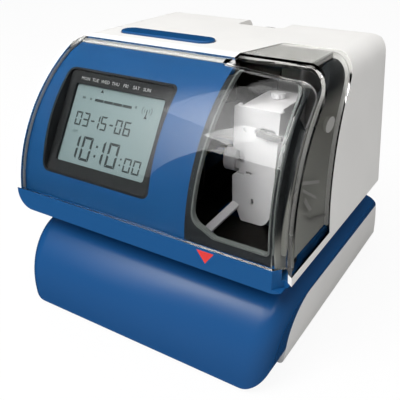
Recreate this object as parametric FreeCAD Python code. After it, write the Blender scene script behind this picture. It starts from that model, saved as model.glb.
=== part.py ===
import FreeCAD, Part
import math
import os

# Electronic date and time stamp, in millimetres.
# Z = 0 is the floor, X = 0 the middle of the width, Y = 0 the middle of the depth.
# The operator stands on the -Y side; the print position is right of the middle.

Vector = FreeCAD.Vector

# ---------------------------------------------------------------- driving dimensions
# Base
BASE_DEPTH = 172.0          # nose to rear edge
BASE_FOOT_WIDTH = 147.0     # across the side walls at the floor
BASE_LEAN = 5.2             # degrees that the side walls open upwards
BASE_TOP = 45.5             # height of the table that a document slides over
BASE_FLOOR = 2.0            # underside of the base, carried by the feet
BASE_WALL = 2.5
NOSE_RUN = 30.0             # depth of the rounded nose
NOSE_STRAIGHT = 8.0         # height at which the nose starts to round
NOSE_CORNER = 13.0          # lower corners of the nose, seen from the front
BASE_EDGE = 10.0            # round between the side walls, the nose and the table
REAR_RUN = 30.0             # depth of the rounded rear
REAR_BULGE = 3.0            # how far the rear face stands out of its chord
SKIRT_TOP = 36.0            # height of the seam between the cover and the case
SKIRT_FALL = 3.0            # how far that seam drops towards the rear
SKIRT_FRONT = 25.0          # nose to the upright part of the seam
SKIRT_CORNER = 20.0         # round of the seam
CASE_FLOOR = 2.5            # thickness of the bottom
FOOT_RADIUS = 7.0
FOOT_INSET_X = 16.0         # foot centre to the side wall at the floor
FOOT_INSET_FRONT = 24.0     # foot centres behind the nose
FOOT_INSET_REAR = 20.0
BOSS_RADIUS = 4.0
SCREW_RADIUS = 1.5
SCREW_HEAD = 2.8
SCREW_HEAD_T = 1.8

# Head
NOSE_REACH = 8.0            # how far the nose stands in front of the head
HEAD_WIDTH = 160.0          # across the side walls at the waist
HEAD_DEPTH = 133.0          # front of the waist to the rear wall at the case edge
HEAD_TOP = 141.0
WAIST = 66.0                # height where the cover meets the lip of the pan
BROW_RUN = 51.8             # front of the waist back to where the arch meets the top
SIDE_LEAN = 5.5             # degrees that the side walls close upwards
REAR_LEAN = 1.7             # degrees that the rear wall opens upwards
TOP_CORNER = 13.0           # round between the sides and the top
REAR_TOP_CORNER = 6.0
REAR_CORNER = 10.0
CASE_WALL = 2.5
CASE_EDGE = 60.5            # lower edge of the upper case
SEAM_GAP = 0.3              # between pieces that part when the cover lifts off
JOINT_GAP = 0.15            # between the clear cover and the upper case

# Clear cover
LENS_LEFT_RIM = 3.0         # case rim left of the lens
LENS_HEAD = 139.6           # height where the lens ends under the brow
GROOVE_HEIGHT = 138.6       # height of the V groove's tip along the brow
GROOVE_INSET = 4.0          # the tip inside the right wall, up the front
GROOVE_DEPTH = 4.8
GROOVE_SPREAD = 4.0         # from the tip to the edge of the lens face
GROOVE_TURN = 13.0          # radius of the tip's line around the top right corner
GROOVE_SWEEP = 85.0         # degrees that it turns there
GROOVE_FADE = 0.11          # how fast the groove runs out along the brow, per mm
GROOVE_LENGTH = 36.0        # how far it runs along the brow
WRAP_SLANT = 0.25           # how far the left edge of the clear top moves right per mm of depth
WRAP_STRIP = 4.0            # case strip left below the clear side
WRAP_FOOT_RUN = 45.5        # clear side, waist front to its rear edge at the strip
WRAP_MID_RUN = 56.5         # the same at mid height
WRAP_MID_HEIGHT = 110.0
WRAP_TOP_RUN = 84.0         # the same on the top

# Pan and throat
PAN_FLOOR = 54.5            # underside of the head
PAN_FLOOR_T = 2.5
PAN_CORNER = 9.0            # lower corners, seen from the front
LIP_T = 3.5
LIP_RIGHT = 4.0             # lip stops this far inside the right wall
RIM_T = 2.0
RIM_TOP = 68.0
THROAT_DEPTH = 84.0         # front of the waist to the neck
NECK_DEPTH = 40.0
NECK_INSET = 12.0           # neck inside the side walls of the head
NECK_WALL = 2.5
NECK_CORNER = 8.0

# Front panel, display and window
PANEL_GAP = 1.5             # air between the lens and the panel
PANEL_T = 2.0
PANEL_SIDE_GAP = 1.0        # panel to the inner face of the case
PANEL_TOP = 138.7           # height on the arch
PANEL_RETURN = 10.0         # depth of the panel's side flanges
BEZEL_INSET = 17.0          # bezel inside the left wall
BEZEL_GAP = 21.0            # bezel to the window frame
BEZEL_FOOT = 79.5           # heights on the arched panel
BEZEL_HEAD = 129.5
BEZEL_CORNER = 4.0
BEZEL_BORDER_X = 6.0
BEZEL_BORDER_FOOT = 9.8
BEZEL_BORDER_HEAD = 8.7
BEZEL_RIM = 1.3             # side walls of the tray around the display
BEZEL_PLATE = 1.5           # floor of that tray
DISPLAY_DEPTH = 8.0         # display glass behind the chord of the bezel
GLASS_T = 2.8
GLASS_MARGIN = 3.0          # glass outside the opening
BOARD_T = 1.6
WINDOW_BORDER = 3.0         # window frame left of the opening
WINDOW_FOOT = 70.0
WINDOW_HEAD = 134.6
WINDOW_CORNER = 7.0
FRAME_INSET = 9.0           # window frame inside the right wall
FRAME_RETURN = 11.0
FRAME_WALL = 1.6
RIM_WIDTH = 0.8             # light bead around the opening
BLIND_INSET = 4.2           # dark wall behind the clear side
BLIND_DEPTH = 8.0           # how far behind the arched front it starts
BLIND_ROOF = 12.0           # its roof, from the wall towards the middle
LEDGE_T = 1.5               # rebates of the upper case behind the clear cover
LEDGE_GAP = 0.15            # air between them

# Print unit
PRINT_INSET = 39.0          # middle of the print head at rest, inside the right wall
PRINT_RUN = 53.0            # waist front to the print line
PRINT_GAP = 2.4             # platen to the ribbon
PLATEN_PROUD = 0.7
PLATEN_T = 3.0
PLATEN_WIDTH = 46.0
PLATEN_DEPTH = 12.0
HEAD_BODY_RADIUS = 9.0
HEAD_BODY_FOOT = 61.0
NOSE_WIDTH = 6.0
NOSE_DEPTH = 8.0
RIBBON_T = 0.3
RIBBON_WIDTH = 8.0
SHAFT_RADIUS = 3.0
SHAFT_HEIGHT = 95.0
SHAFT_SPACING = 28.0
SHAFT_CLEARANCE = 0.05
CARRIAGE_WIDTH = 21.0
CARRIAGE_WALL = 3.0
CARRIAGE_LEFT_TRAVEL = 12.0
CARRIAGE_RIGHT_TRAVEL = 12.0
SHIELD_WIDTH = 22.0
SHIELD_T = 1.5
SHIELD_FOOT = 59.6
SHIELD_FRONT_RUN = 42.0     # waist front to the face of the print unit
CASSETTE_HEIGHT = 17.0
CASSETTE_WIDTH = 23.0
CASSETTE_DEPTH = 36.0
CASSETTE_CLEAR = 1.0
KNOB_RADIUS = 3.4
KNOB_T = 2.4
KNOB_PIN = 2.0
SHIELD_RETURN = 4.5
LUG_RADIUS = 6.3            # round lug of the carriage, left of the print unit
LUG_DROP = 7.0              # middle of the lug under the front shaft
RIBBON_SPREAD = 11.1
RIBBON_TURN = 62.0
PLATE_T = 1.6
PLATE_INSET = 11.0          # outer face of the right side plate inside the right wall
PLATE_SPAN = 60.0           # from there to the inner face of the left side plate
PLATE_FRONT_RUN = 35.0
PLATE_REAR_RUN = 90.0
FLANGE_WIDTH = 9.0
PULLEY_RADIUS = 5.0
BELT_T = 1.2
BELT_WIDTH = 5.0
BELT_RUN = 99.0
BELT_DROP = 9.0             # belt under the middle of the shafts
PULLEY_INSET = 10.0         # pulleys inside the side plates
MOTOR_RADIUS = 11.0
MOTOR_DROP = 9.0            # top of the motor under the belt
PIVOT_RADIUS = 1.5

# Chassis
CHASSIS_T = 2.0
CHASSIS_REACH = 21.0        # chassis left of the left side plate
WEB_INSET = 9.0             # web inside the right edge of the chassis
CHASSIS_WEB_RUN = 110.0
CHASSIS_FOOT = 6.5          # underside of the lower arm
CHASSIS_FRONT_RUN = 34.0

# Push bar, keys, lock, trigger, stop
BAR_INSET = 27.0            # push bar inside the left wall
BAR_LENGTH = 57.0
BAR_RUN = 65.0
BAR_WIDTH = 12.0
BAR_PROUD = 1.2
BAR_TRAVEL = 2.0
BAR_GAP = 0.4
KEY_RADIUS = 2.3
KEY_TRAVEL = 0.7
KEY_PITCH = 13.0
KEY_INSET = 34.0            # first key inside the left wall
KEY_COUNT = 3
LOCK_X = 4.0
LOCK_RUN = 124.0
LOCK_RADIUS = 5.5
NOTCH_WIDTH = 28.0
NOTCH_RUN = 20.0
NOTCH_DEPTH = 4.0
TRIGGER_RUN = 75.0
TRIGGER_HEIGHT = 66.0
TRIGGER_WIDTH = 4.0
STOP_X = -34.0
STOP_WIDTH = 16.0
STOP_DEPTH = 8.0
STOP_TRAVEL = 26.0
POINTER_SHIFT = 2.0         # pointer left of the print line
POINTER_WIDTH = 9.0
POINTER_HEIGHT = 6.2
BAR_HEIGHT = 5.0
STEM_RADIUS = 3.0
SPRING_RADIUS = 2.6
SPRING_WIRE = 0.4
SPRING_TURNS = 4
PLUG_RADIUS = 3.6
CAM_LENGTH = 16.0
CAM_T = 2.0
KEY_RUN = 53.5
INLET_X = -45.0
INLET_Z = 17.0
INLET_INSET = 12.0          # face of the inlet inside the rear edge
INLET_WIDTH = 15.0
INLET_HEIGHT = 8.6
INLET_DEPTH = 11.0
INLET_PIN_PITCH = 8.6
INLET_PIN_RADIUS = 1.2
CORE = (38.0, 18.0, 32.0)
CORE_X = -44.0
CORE_INSET = 59.0           # middle of the transformer inside the rear edge
COIL_PROUD = 8.0
STOP_GAP = 2.0              # stop in front of the neck
BOSS_STEP_FRONT = 12.0      # screw bosses behind the front feet
BOSS_STEP_REAR = 14.0       # and in front of the rear feet
BOARD_INSET = 10.0          # main board inside the left wall

# ---------------------------------------------------------------- places worked out
NOSE_Y = -BASE_DEPTH / 2
REAR_Y = BASE_DEPTH / 2
FRONT_Y = NOSE_Y + NOSE_REACH
ARC_RADIUS = (BROW_RUN ** 2 + (HEAD_TOP - WAIST) ** 2) / (2 * BROW_RUN)
ARC_Y = FRONT_Y + ARC_RADIUS
RIGHT = HEAD_WIDTH / 2
PANEL_INSET = CASE_WALL + PANEL_GAP
PRINT_X = RIGHT - PRINT_INSET
PRINT_Y = FRONT_Y + PRINT_RUN
TRIGGER_X = PRINT_X
POINTER_X = PRINT_X - POINTER_SHIFT
PANEL_SPLIT = PRINT_X - 15
WRAP_LEFT = PANEL_SPLIT     # left edge of the clear top at the brow
BEZEL_LEFT = BEZEL_INSET - RIGHT
BEZEL_RIGHT = PANEL_SPLIT - BEZEL_GAP
WINDOW_LEFT = PANEL_SPLIT + WINDOW_BORDER
WINDOW_RIGHT = RIGHT - FRAME_INSET - FRAME_WALL
PAN_TOP = PAN_FLOOR + PAN_FLOOR_T
SHOULDER = CASE_EDGE - SEAM_GAP
PLATE_FOOT = PAN_TOP + CHASSIS_T
PLATE_TOP = SHAFT_HEIGHT + 17
PLATE_RIGHT_X = RIGHT - PLATE_INSET
PLATE_LEFT_X = PLATE_RIGHT_X - PLATE_SPAN
PULLEY_RIGHT_X = PLATE_RIGHT_X - PULLEY_INSET
PULLEY_LEFT_X = PLATE_LEFT_X + PULLEY_INSET
BELT_HEIGHT = SHAFT_HEIGHT - BELT_DROP
MOTOR_TOP = BELT_HEIGHT - MOTOR_DROP
HEAD_BODY_HEAD = SHAFT_HEIGHT - 11
LEVER_HEIGHT = SHAFT_HEIGHT + 13
SHIELD_TOP = SHAFT_HEIGHT + 24
CHASSIS_LEFT = PLATE_LEFT_X - CHASSIS_REACH
CHASSIS_RIGHT = RIGHT - FRAME_INSET
WEB_RIGHT = CHASSIS_RIGHT - WEB_INSET
WEB_Y = FRONT_Y + CHASSIS_WEB_RUN
LOCK_Y = FRONT_Y + LOCK_RUN
STOP_Y = FRONT_Y + THROAT_DEPTH - STOP_GAP - STOP_DEPTH / 2
INLET_Y = REAR_Y - INLET_INSET
BAR_LEFT = BAR_INSET - RIGHT
BAR_RIGHT = BAR_LEFT + BAR_LENGTH
KEY_FIRST_X = KEY_INSET - RIGHT
BOARD_LEFT = BOARD_INSET - RIGHT
NOSE_TIP = BASE_TOP + PLATEN_PROUD + PRINT_GAP + RIBBON_T
WELL_FLOOR = HEAD_TOP + BAR_PROUD - BAR_HEIGHT - 6.5
STEM_FOOT = WELL_FLOOR - 3.5
BOARD_TOP = STEM_FOOT - BAR_TRAVEL - 2
CAM_HEIGHT = HEAD_TOP - NOTCH_DEPTH - 17
KEY_LAST_X = KEY_FIRST_X + KEY_PITCH * (KEY_COUNT - 1)
SHELF_HEIGHT = 128.0
BOSS_TOP = BASE_TOP - BASE_WALL - 12
TRANSFORMER = (CORE_X, REAR_Y - CORE_INSET, BASE_FLOOR + CASE_FLOOR)
FAR = 400.0


# ---------------------------------------------------------------- drawing helpers
PLACES = {
    "xy": lambda a, b, c: Vector(a, b, c),
    "xz": lambda a, b, c: Vector(a, c, b),
    "yz": lambda a, b, c: Vector(c, a, b),
}


def outline(plane, corners, at):
    """Closed wire through corners (a, b, radius) in a plane, each rounded by its radius."""
    place = PLACES[plane]
    count = len(corners)
    turns = []
    for i, (a, b, radius) in enumerate(corners):
        corner = Vector(a, b, 0)
        back = (Vector(*corners[i - 1][:2], 0) - corner).normalize()
        ahead = (Vector(*corners[(i + 1) % count][:2], 0) - corner).normalize()
        if radius <= 0:
            turns.append((corner, None, corner))
            continue
        half = back.getAngle(ahead) / 2
        reach = radius / math.tan(half)
        middle = corner + (back + ahead).normalize() * (radius / math.sin(half) - radius)
        turns.append((corner + back * reach, middle, corner + ahead * reach))
    edges = []
    for i, (start, middle, end) in enumerate(turns):
        if middle is not None:
            edges.append(Part.Arc(place(*start[:2], at), place(*middle[:2], at),
                                  place(*end[:2], at)).toShape())
        following = turns[(i + 1) % count][0]
        if (following - end).Length > 1e-6:
            edges.append(Part.makeLine(place(*end[:2], at), place(*following[:2], at)))
    return Part.Wire(edges)


def prism(plane, corners, low, high):
    """Solid with rounded corners, drawn in a plane and carried from low to high."""
    normal = PLACES[plane](0, 0, 1)
    return Part.Face(outline(plane, corners, low)).extrude(normal * (high - low))


def sharp(points):
    """Corners with no round."""
    return [(a, b, 0) for a, b in points]


def box(x0, x1, y0, y1, z0, z1):
    """Plain block between two opposite corners."""
    return Part.makeBox(x1 - x0, y1 - y0, z1 - z0, Vector(x0, y0, z0))


def slab(x0, x1, y0, y1, radius, z0, z1):
    """Block with rounded upright edges."""
    corners = [(x0, y0, radius), (x1, y0, radius), (x1, y1, radius), (x0, y1, radius)]
    return prism("xy", corners, z0, z1)


def rod(axis, a, b, radius, low, high):
    """Round bar along an axis, its other two coordinates a and b in x, y, z order."""
    bases = {"x": Vector(low, a, b), "y": Vector(a, low, b), "z": Vector(a, b, low)}
    ways = {"x": Vector(1, 0, 0), "y": Vector(0, 1, 0), "z": Vector(0, 0, 1)}
    return Part.makeCylinder(radius, high - low, bases[axis], ways[axis])


def below(z):
    """Everything under a height."""
    return box(-FAR, FAR, -FAR, FAR, -FAR, z)


def above(z):
    """Everything over a height."""
    return box(-FAR, FAR, -FAR, FAR, z, FAR)


def union(first, *others):
    """One solid from touching ones, without the seams between them."""
    return first.multiFuse(others).removeSplitter()


def save(name, *solids):
    """Write the solids of one node."""
    shape = solids[0] if len(solids) == 1 else Part.makeCompound(list(solids))
    shape.exportStep(f"parts/{name}.step")
    whole = shape.isValid() and all(s.Volume > 0 for s in shape.Solids)
    state = "valid" if whole else "NOT VALID"
    print(f"{name}: {len(shape.Solids)} solids, volume {shape.Volume:.0f}, {state}")


# ---------------------------------------------------------------- the base
def base_half_width(z, inset=0.0):
    """Half the width of the base at a height."""
    return BASE_FOOT_WIDTH / 2 + math.tan(math.radians(BASE_LEAN)) * z - inset


def base_side_view(inset):
    """Side view of the base: rounded nose, flat table, sloping rear."""
    nose, top, rear = NOSE_Y + inset, BASE_TOP - inset, REAR_Y - inset
    floor = -BASE_TOP / 3
    bend_y, bend_z = NOSE_Y + NOSE_RUN, NOSE_STRAIGHT
    long_way, high_way = NOSE_RUN - inset, top - bend_z
    ellipse = Part.Ellipse(Vector(0, bend_y, bend_z), high_way, long_way)
    ellipse.Axis = Vector(1, 0, 0)
    ellipse.XAxis = Vector(0, 0, 1)
    start, end = Vector(0, nose, bend_z), Vector(0, bend_y, top)
    turn = sorted((ellipse.parameter(start), ellipse.parameter(end)))
    if turn[1] - turn[0] > math.pi:
        turn = [turn[1], turn[0] + 2 * math.pi]
    bow = ellipse.toShape(*turn)
    crest, heel = Vector(0, REAR_Y - REAR_RUN, top), Vector(0, rear, BASE_FLOOR)
    chord = heel - crest
    swell = (crest + heel) / 2 + Vector(0, -chord.z, chord.y).normalize() * REAR_BULGE
    toe, tail = Vector(0, nose, floor), Vector(0, rear, floor)
    edges = [bow, Part.makeLine(end, crest), Part.Arc(crest, swell, heel).toShape()]
    edges += [Part.makeLine(heel, tail), Part.makeLine(tail, toe), Part.makeLine(toe, start)]
    return Part.Wire(Part.__sortEdges__(edges))


def base_form(inset, low_corner):
    """Outer form of the base, moved inwards, rounded along its sides and at its lower corners."""
    body = Part.Face(base_side_view(inset)).extrude(Vector(2 * HEAD_WIDTH, 0, 0))
    body.translate(Vector(-HEAD_WIDTH, 0, 0))
    low, high = base_half_width(-BASE_TOP, inset), base_half_width(2 * BASE_TOP, inset)
    walls = sharp([(-low, -BASE_TOP), (low, -BASE_TOP), (high, 2 * BASE_TOP), (-high, 2 * BASE_TOP)])
    body = body.common(prism("xz", walls, -BASE_DEPTH, BASE_DEPTH))
    rims = [edge for edge in body.Edges if runs_along_side(edge)]
    body = body.makeFillet(BASE_EDGE - inset, rims)
    foot = BASE_FLOOR
    low, high = base_half_width(foot, inset), base_half_width(BASE_TOP + 5, inset)
    corners = [(-low, foot, low_corner), (low, foot, low_corner), (high, BASE_TOP + 5, 0),
               (-high, BASE_TOP + 5, 0)]
    return body.common(prism("xz", corners, -BASE_DEPTH, BASE_DEPTH))


def runs_along_side(edge):
    """Whether an edge of the base lies between a side wall and the nose or the table."""
    middle = edge.valueAt((edge.FirstParameter + edge.LastParameter) / 2)
    return abs(middle.x) > BASE_FOOT_WIDTH / 4 and middle.z > -BASE_TOP / 4 and middle.y < REAR_Y - REAR_RUN


def skirt_region(shift):
    """Space behind and below the seam between the base cover and the base case."""
    front = NOSE_Y + SKIRT_FRONT + shift
    corners = [(front, -FAR, 0), (front, SKIRT_TOP - shift, SKIRT_CORNER)]
    corners += [(REAR_Y + 10, SKIRT_TOP - SKIRT_FALL - shift, 0), (REAR_Y + 10, -FAR, 0)]
    return prism("yz", corners, -HEAD_WIDTH, HEAD_WIDTH)


def boss_places():
    """Screw places in the base, near the four feet."""
    x = BASE_FOOT_WIDTH / 2 - FOOT_INSET_X
    front, rear = NOSE_Y + FOOT_INSET_FRONT, REAR_Y - FOOT_INSET_REAR
    rows = (front + BOSS_STEP_FRONT, rear - BOSS_STEP_REAR)
    return [(side * x, y) for side in (-1, 1) for y in rows]


def foot_places():
    """Centres of the four rubber feet."""
    x = BASE_FOOT_WIDTH / 2 - FOOT_INSET_X
    return [(sx * x, y) for sx in (-1, 1) for y in (NOSE_Y + FOOT_INSET_FRONT, REAR_Y - FOOT_INSET_REAR)]


def make_base():
    """Bottom case, blue cover with the table, feet and screws."""
    lower = BASE_FLOOR + CASE_FLOOR
    outer = base_form(0, 3.0).common(skirt_region(0))
    inner = base_form(BASE_WALL, 0.5).common(skirt_region(-FAR)).common(above(lower))
    tray = outer.cut(inner)
    tongue_half = base_half_width(lower) - NOSE_CORNER
    tongue = slab(-tongue_half, tongue_half, NOSE_Y + BASE_WALL + SEAM_GAP,
                  NOSE_Y + SKIRT_FRONT + 6, 4, BASE_FLOOR, lower)
    bosses = [rod("z", x, y, BOSS_RADIUS, BASE_FLOOR, BOSS_TOP) for x, y in boss_places()]
    case = union(tray, tongue, *bosses)
    for x, y in boss_places():
        case = case.cut(rod("z", x, y, SCREW_RADIUS + 0.2, BASE_FLOOR - 1, BOSS_TOP + 1))
        case = case.cut(rod("z", x, y, SCREW_HEAD + 0.3, BASE_FLOOR - 1, BASE_FLOOR + SCREW_HEAD_T + 0.4))
    for y in (FRONT_Y + CHASSIS_FRONT_RUN + 4, WEB_Y - 8):
        case = case.fuse(box(CHASSIS_LEFT, WEB_RIGHT, y, y + 4, BASE_FLOOR + 1, CHASSIS_FOOT))
    save("base_case", inlet_recess(case).removeSplitter())


def inlet_recess(case):
    """Walled recess in the rear of the base that the mains inlet sits in."""
    half_x, half_z = INLET_WIDTH / 2 + 2.5, INLET_HEIGHT / 2 + 2
    walls = box(INLET_X - half_x - 2, INLET_X + half_x + 2, INLET_Y - 3, FAR,
                INLET_Z - half_z - 2, INLET_Z + half_z + 2).common(base_form(0, 3.0))
    pocket = box(INLET_X - half_x, INLET_X + half_x, INLET_Y - 2, FAR, INLET_Z - half_z, INLET_Z + half_z)
    passage = slab_xz(INLET_X, INLET_Z, INLET_WIDTH + 2, INLET_HEIGHT + 2, 3, INLET_Y - 20, INLET_Y)
    return case.fuse(walls).cut(pocket).cut(passage)


def make_base_cover():
    """Blue cover: nose, table and side bands, with its openings and screw sockets."""
    outer = base_form(0, NOSE_CORNER)
    inner = base_form(BASE_WALL, NOSE_CORNER - BASE_WALL)
    cover = outer.cut(inner).cut(skirt_region(0))
    sockets = [rod("z", x, y, BOSS_RADIUS, BOSS_TOP, BASE_TOP - BASE_WALL / 2) for x, y in boss_places()]
    sockets = [socket.cut(rod("z", *place, SCREW_RADIUS, BOSS_TOP - 1, BOSS_TOP + 8))
               for socket, place in zip(sockets, boss_places())]
    cover = union(cover, *sockets)
    for hole in (platen_space(SEAM_GAP, 0, FAR), web_slot(), stop_slot()):
        cover = cover.cut(hole)
    save("base_cover", cover)


def web_slot():
    """Slot that the web of the chassis passes through, in the table and in the pan."""
    return box(CHASSIS_LEFT - 1, WEB_RIGHT + 1, WEB_Y - 1, WEB_Y + CHASSIS_T + 1, BASE_TOP - 10,
               PAN_TOP + 1)


def platen_space(gap, low, high):
    """Block over the plan of the platen."""
    return slab(PRINT_X - PLATEN_WIDTH / 2 - gap, PRINT_X + PLATEN_WIDTH / 2 + gap,
                PRINT_Y - PLATEN_DEPTH / 2 - gap, PRINT_Y + PLATEN_DEPTH / 2 + gap, 1.5, low, high)


def make_base_fittings():
    """Feet, screws, mains inlet, transformer and the neck between base and head."""
    feet = []
    for x, y in foot_places():
        feet.append(Part.makeCone(FOOT_RADIUS - 0.6, FOOT_RADIUS, BASE_FLOOR, Vector(x, y, 0)))
    save("rubber_feet", *feet)
    screws = []
    for x, y in boss_places():
        head = rod("z", x, y, SCREW_HEAD, BASE_FLOOR + 0.4, BASE_FLOOR + 0.4 + SCREW_HEAD_T)
        shank = rod("z", x, y, SCREW_RADIUS, BASE_FLOOR + 0.4, BOSS_TOP + 8)
        screws.append(union(head, shank))
    save("base_screws", *screws)

    face = INLET_Y
    flange = slab_xz(INLET_X, INLET_Z, INLET_WIDTH + 5, INLET_HEIGHT + 4, 2, face - 2, face)
    body = slab_xz(INLET_X, INLET_Z, INLET_WIDTH + 2, INLET_HEIGHT + 2, 3, face - INLET_DEPTH - 3, face)
    hollow = slab_xz(INLET_X, INLET_Z, INLET_WIDTH, INLET_HEIGHT, INLET_HEIGHT / 2 - 0.1,
                     face - INLET_DEPTH, face + 1)
    pins = [rod("y", INLET_X + side * INLET_PIN_PITCH / 2, INLET_Z, INLET_PIN_RADIUS,
                face - INLET_DEPTH - 1, face - 2) for side in (-1, 1)]
    save("mains_inlet", union(union(flange, body).cut(hollow), *pins))

    x, y, z = TRANSFORMER
    width, depth, height = CORE
    limb = width / 6
    yoke = limb / 1.2
    core = slab(x - width / 2, x + width / 2, y - depth / 2, y + depth / 2, 0.5, z, z + height)
    for side in (-1, 1):
        inner, outer = sorted((x + side * limb, x + side * 2 * limb))
        core = core.cut(box(inner, outer, y - depth, y + depth, z + yoke, z + height - yoke))
    coil = slab(x - 2 * limb, x + 2 * limb, y - depth / 2 - COIL_PROUD, y + depth / 2 + COIL_PROUD, 2,
                z + yoke + 0.5, z + height - yoke - 0.5)
    coil = coil.cut(box(x - limb, x + limb, y - depth / 2, y + depth / 2, z, z + height))
    save("transformer_core", core)
    save("transformer_coil", coil)

    half, front = RIGHT - NECK_INSET, FRONT_Y + THROAT_DEPTH
    neck = slab(-half, half, front, front + NECK_DEPTH, NECK_CORNER, BASE_TOP, PAN_FLOOR)
    bore = slab(-half + NECK_WALL, half - NECK_WALL, front + NECK_WALL, front + NECK_DEPTH - NECK_WALL,
                NECK_CORNER - NECK_WALL, BASE_TOP - 1, PAN_FLOOR + 1)
    save("neck_shroud", neck.cut(bore))


def slab_xz(x, z, width, height, radius, y0, y1):
    """Block with rounded edges along Y, centred on x and z."""
    corners = [(x - width / 2, z - height / 2, radius), (x + width / 2, z - height / 2, radius),
               (x + width / 2, z + height / 2, radius), (x - width / 2, z + height / 2, radius)]
    return prism("xz", corners, y0, y1)


def make_chassis():
    """Steel C-frame from the base, through the neck, into the head; platen and its holder."""
    front = FRONT_Y + CHASSIS_FRONT_RUN
    lower = slab(CHASSIS_LEFT, WEB_RIGHT, front, WEB_Y + CHASSIS_T, 3, CHASSIS_FOOT,
                 CHASSIS_FOOT + CHASSIS_T)
    web = box(CHASSIS_LEFT, WEB_RIGHT, WEB_Y, WEB_Y + CHASSIS_T, CHASSIS_FOOT, PLATE_FOOT)
    upper = slab(CHASSIS_LEFT, CHASSIS_RIGHT, FRONT_Y + LIP_T + 1.5, WEB_Y + CHASSIS_T, 3, PAN_TOP,
                 PLATE_FOOT)
    tongue_left, tongue_right = LOCK_X - 10, LOCK_X + 16
    tongue = prism("xz", [(tongue_left, PAN_TOP, 0), (tongue_right, PAN_TOP, 0),
                          (tongue_right, CAM_HEIGHT + 7, 3), (tongue_left, CAM_HEIGHT + 7, 3)],
                   WEB_Y, WEB_Y + CHASSIS_T)
    window = box(LOCK_X - 4, LOCK_X + 13, WEB_Y - 1, WEB_Y + CHASSIS_T + 1, CAM_HEIGHT - 0.6,
                 CAM_HEIGHT + CAM_T + 0.6)
    frame = union(lower, web, upper, tongue).cut(window)
    for slot in (print_slot(PAN_FLOOR, PLATE_FOOT + 1), trigger_slot(PAN_FLOOR, PLATE_FOOT + 1)):
        frame = frame.cut(slot)
    for x in (CHASSIS_LEFT + 14, WEB_RIGHT - 14):
        frame = frame.cut(rod("y", x, (PAN_TOP + CHASSIS_FOOT) / 2, 6, WEB_Y - 1, WEB_Y + CHASSIS_T + 1))
    for x, y in boss_places():
        frame = frame.cut(rod("z", x, y, BOSS_RADIUS + 0.5, 0, BASE_TOP))
    save("chassis_frame", frame)

    top = BASE_TOP + PLATEN_PROUD
    seat = top - PLATEN_T
    low = CHASSIS_FOOT + CHASSIS_T
    half_x, half_y = PLATEN_WIDTH / 2 - 2, PLATEN_DEPTH / 2 - 0.5
    block = slab(PRINT_X - half_x, PRINT_X + half_x, PRINT_Y - half_y, PRINT_Y + half_y, 1, low, seat)
    tunnel = box(PRINT_X - half_x + 5, PRINT_X + half_x - 5, PRINT_Y - half_y - 1, PRINT_Y + half_y + 1,
                 low + 4, seat - 4)
    save("platen_holder", block.cut(tunnel))
    save("platen_rubber", platen_space(0, seat, top))


def print_slot(low, high):
    """Opening in the pan and the chassis for the travelling print nose and ribbon."""
    reach = RIBBON_SPREAD
    return slab(PRINT_X - CARRIAGE_LEFT_TRAVEL - reach, PRINT_X + CARRIAGE_RIGHT_TRAVEL + reach,
                PRINT_Y - 8, PRINT_Y + 8, 2, low - 1, high)


def trigger_slot(low, high):
    """Opening for the trigger lever behind the print line."""
    y = FRONT_Y + TRIGGER_RUN
    half = TRIGGER_WIDTH / 2 + 1
    return box(TRIGGER_X - half, TRIGGER_X + half, y - 9, y + 9, low - 1, high)


def stop_slot():
    """Slot in the table that the document stop slides in."""
    return slab(STOP_X - 2, STOP_X + 2, STOP_Y - STOP_TRAVEL - STOP_DEPTH / 2, STOP_Y + STOP_DEPTH / 2, 1,
                BASE_TOP - BASE_WALL - 1, BASE_TOP + 1)


# ---------------------------------------------------------------- the head
def wall_x(z, inset=0.0):
    """Half the width of the head at a height."""
    return HEAD_WIDTH / 2 - math.tan(math.radians(SIDE_LEAN)) * (z - WAIST) - inset


def rear_y(z, inset=0.0):
    """Rear wall of the head at a height."""
    return FRONT_Y + HEAD_DEPTH + math.tan(math.radians(REAR_LEAN)) * (z - CASE_EDGE) - inset


def arch_angle(z):
    """Angle on the arched front, up from the waist, at a height."""
    return math.asin((z - WAIST) / ARC_RADIUS)


def arch_point(depth, angle):
    """Point (y, z) at a depth behind the arched front."""
    radius = ARC_RADIUS - depth
    return ARC_Y - radius * math.cos(angle), WAIST + radius * math.sin(angle)


def arch_band(near, far, x0, x1, foot, head):
    """Sheet that follows the arched front between two depths, from a foot height to a head height."""
    low, high = (arch_angle(foot) if foot > WAIST else 0.0), arch_angle(head)
    middle = (low + high) / 2

    def bow(depth, first, last):
        ends = [Vector(x0, *arch_point(depth, angle)) for angle in (first, middle, last)]
        return Part.Arc(*ends).toShape(), ends[0], ends[-1]

    outer, outer_low, outer_high = bow(near, low, high)
    inner, inner_high, inner_low = bow(far, high, low)
    edges = [outer, Part.makeLine(outer_high, inner_high), inner]
    if foot < WAIST:
        outer_foot, inner_foot = Vector(x0, outer_low.y, foot), Vector(x0, inner_low.y, foot)
        edges += [Part.makeLine(inner_low, inner_foot), Part.makeLine(inner_foot, outer_foot)]
        edges += [Part.makeLine(outer_foot, outer_low)]
    else:
        edges += [Part.makeLine(inner_low, outer_low)]
    return Part.Face(Part.Wire(edges)).extrude(Vector(x1 - x0, 0, 0))


def width_region(inset, foot=0.0):
    """Space between the leaning side walls, with the rounded top corners."""
    top = HEAD_TOP - inset
    corner = max(TOP_CORNER - inset, 1.0)
    low, high = wall_x(foot, inset), wall_x(top, inset)
    corners = [(-low, foot, 0), (low, foot, 0), (high, top, corner), (-high, top, corner)]
    return prism("xz", corners, -FAR, FAR)


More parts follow.
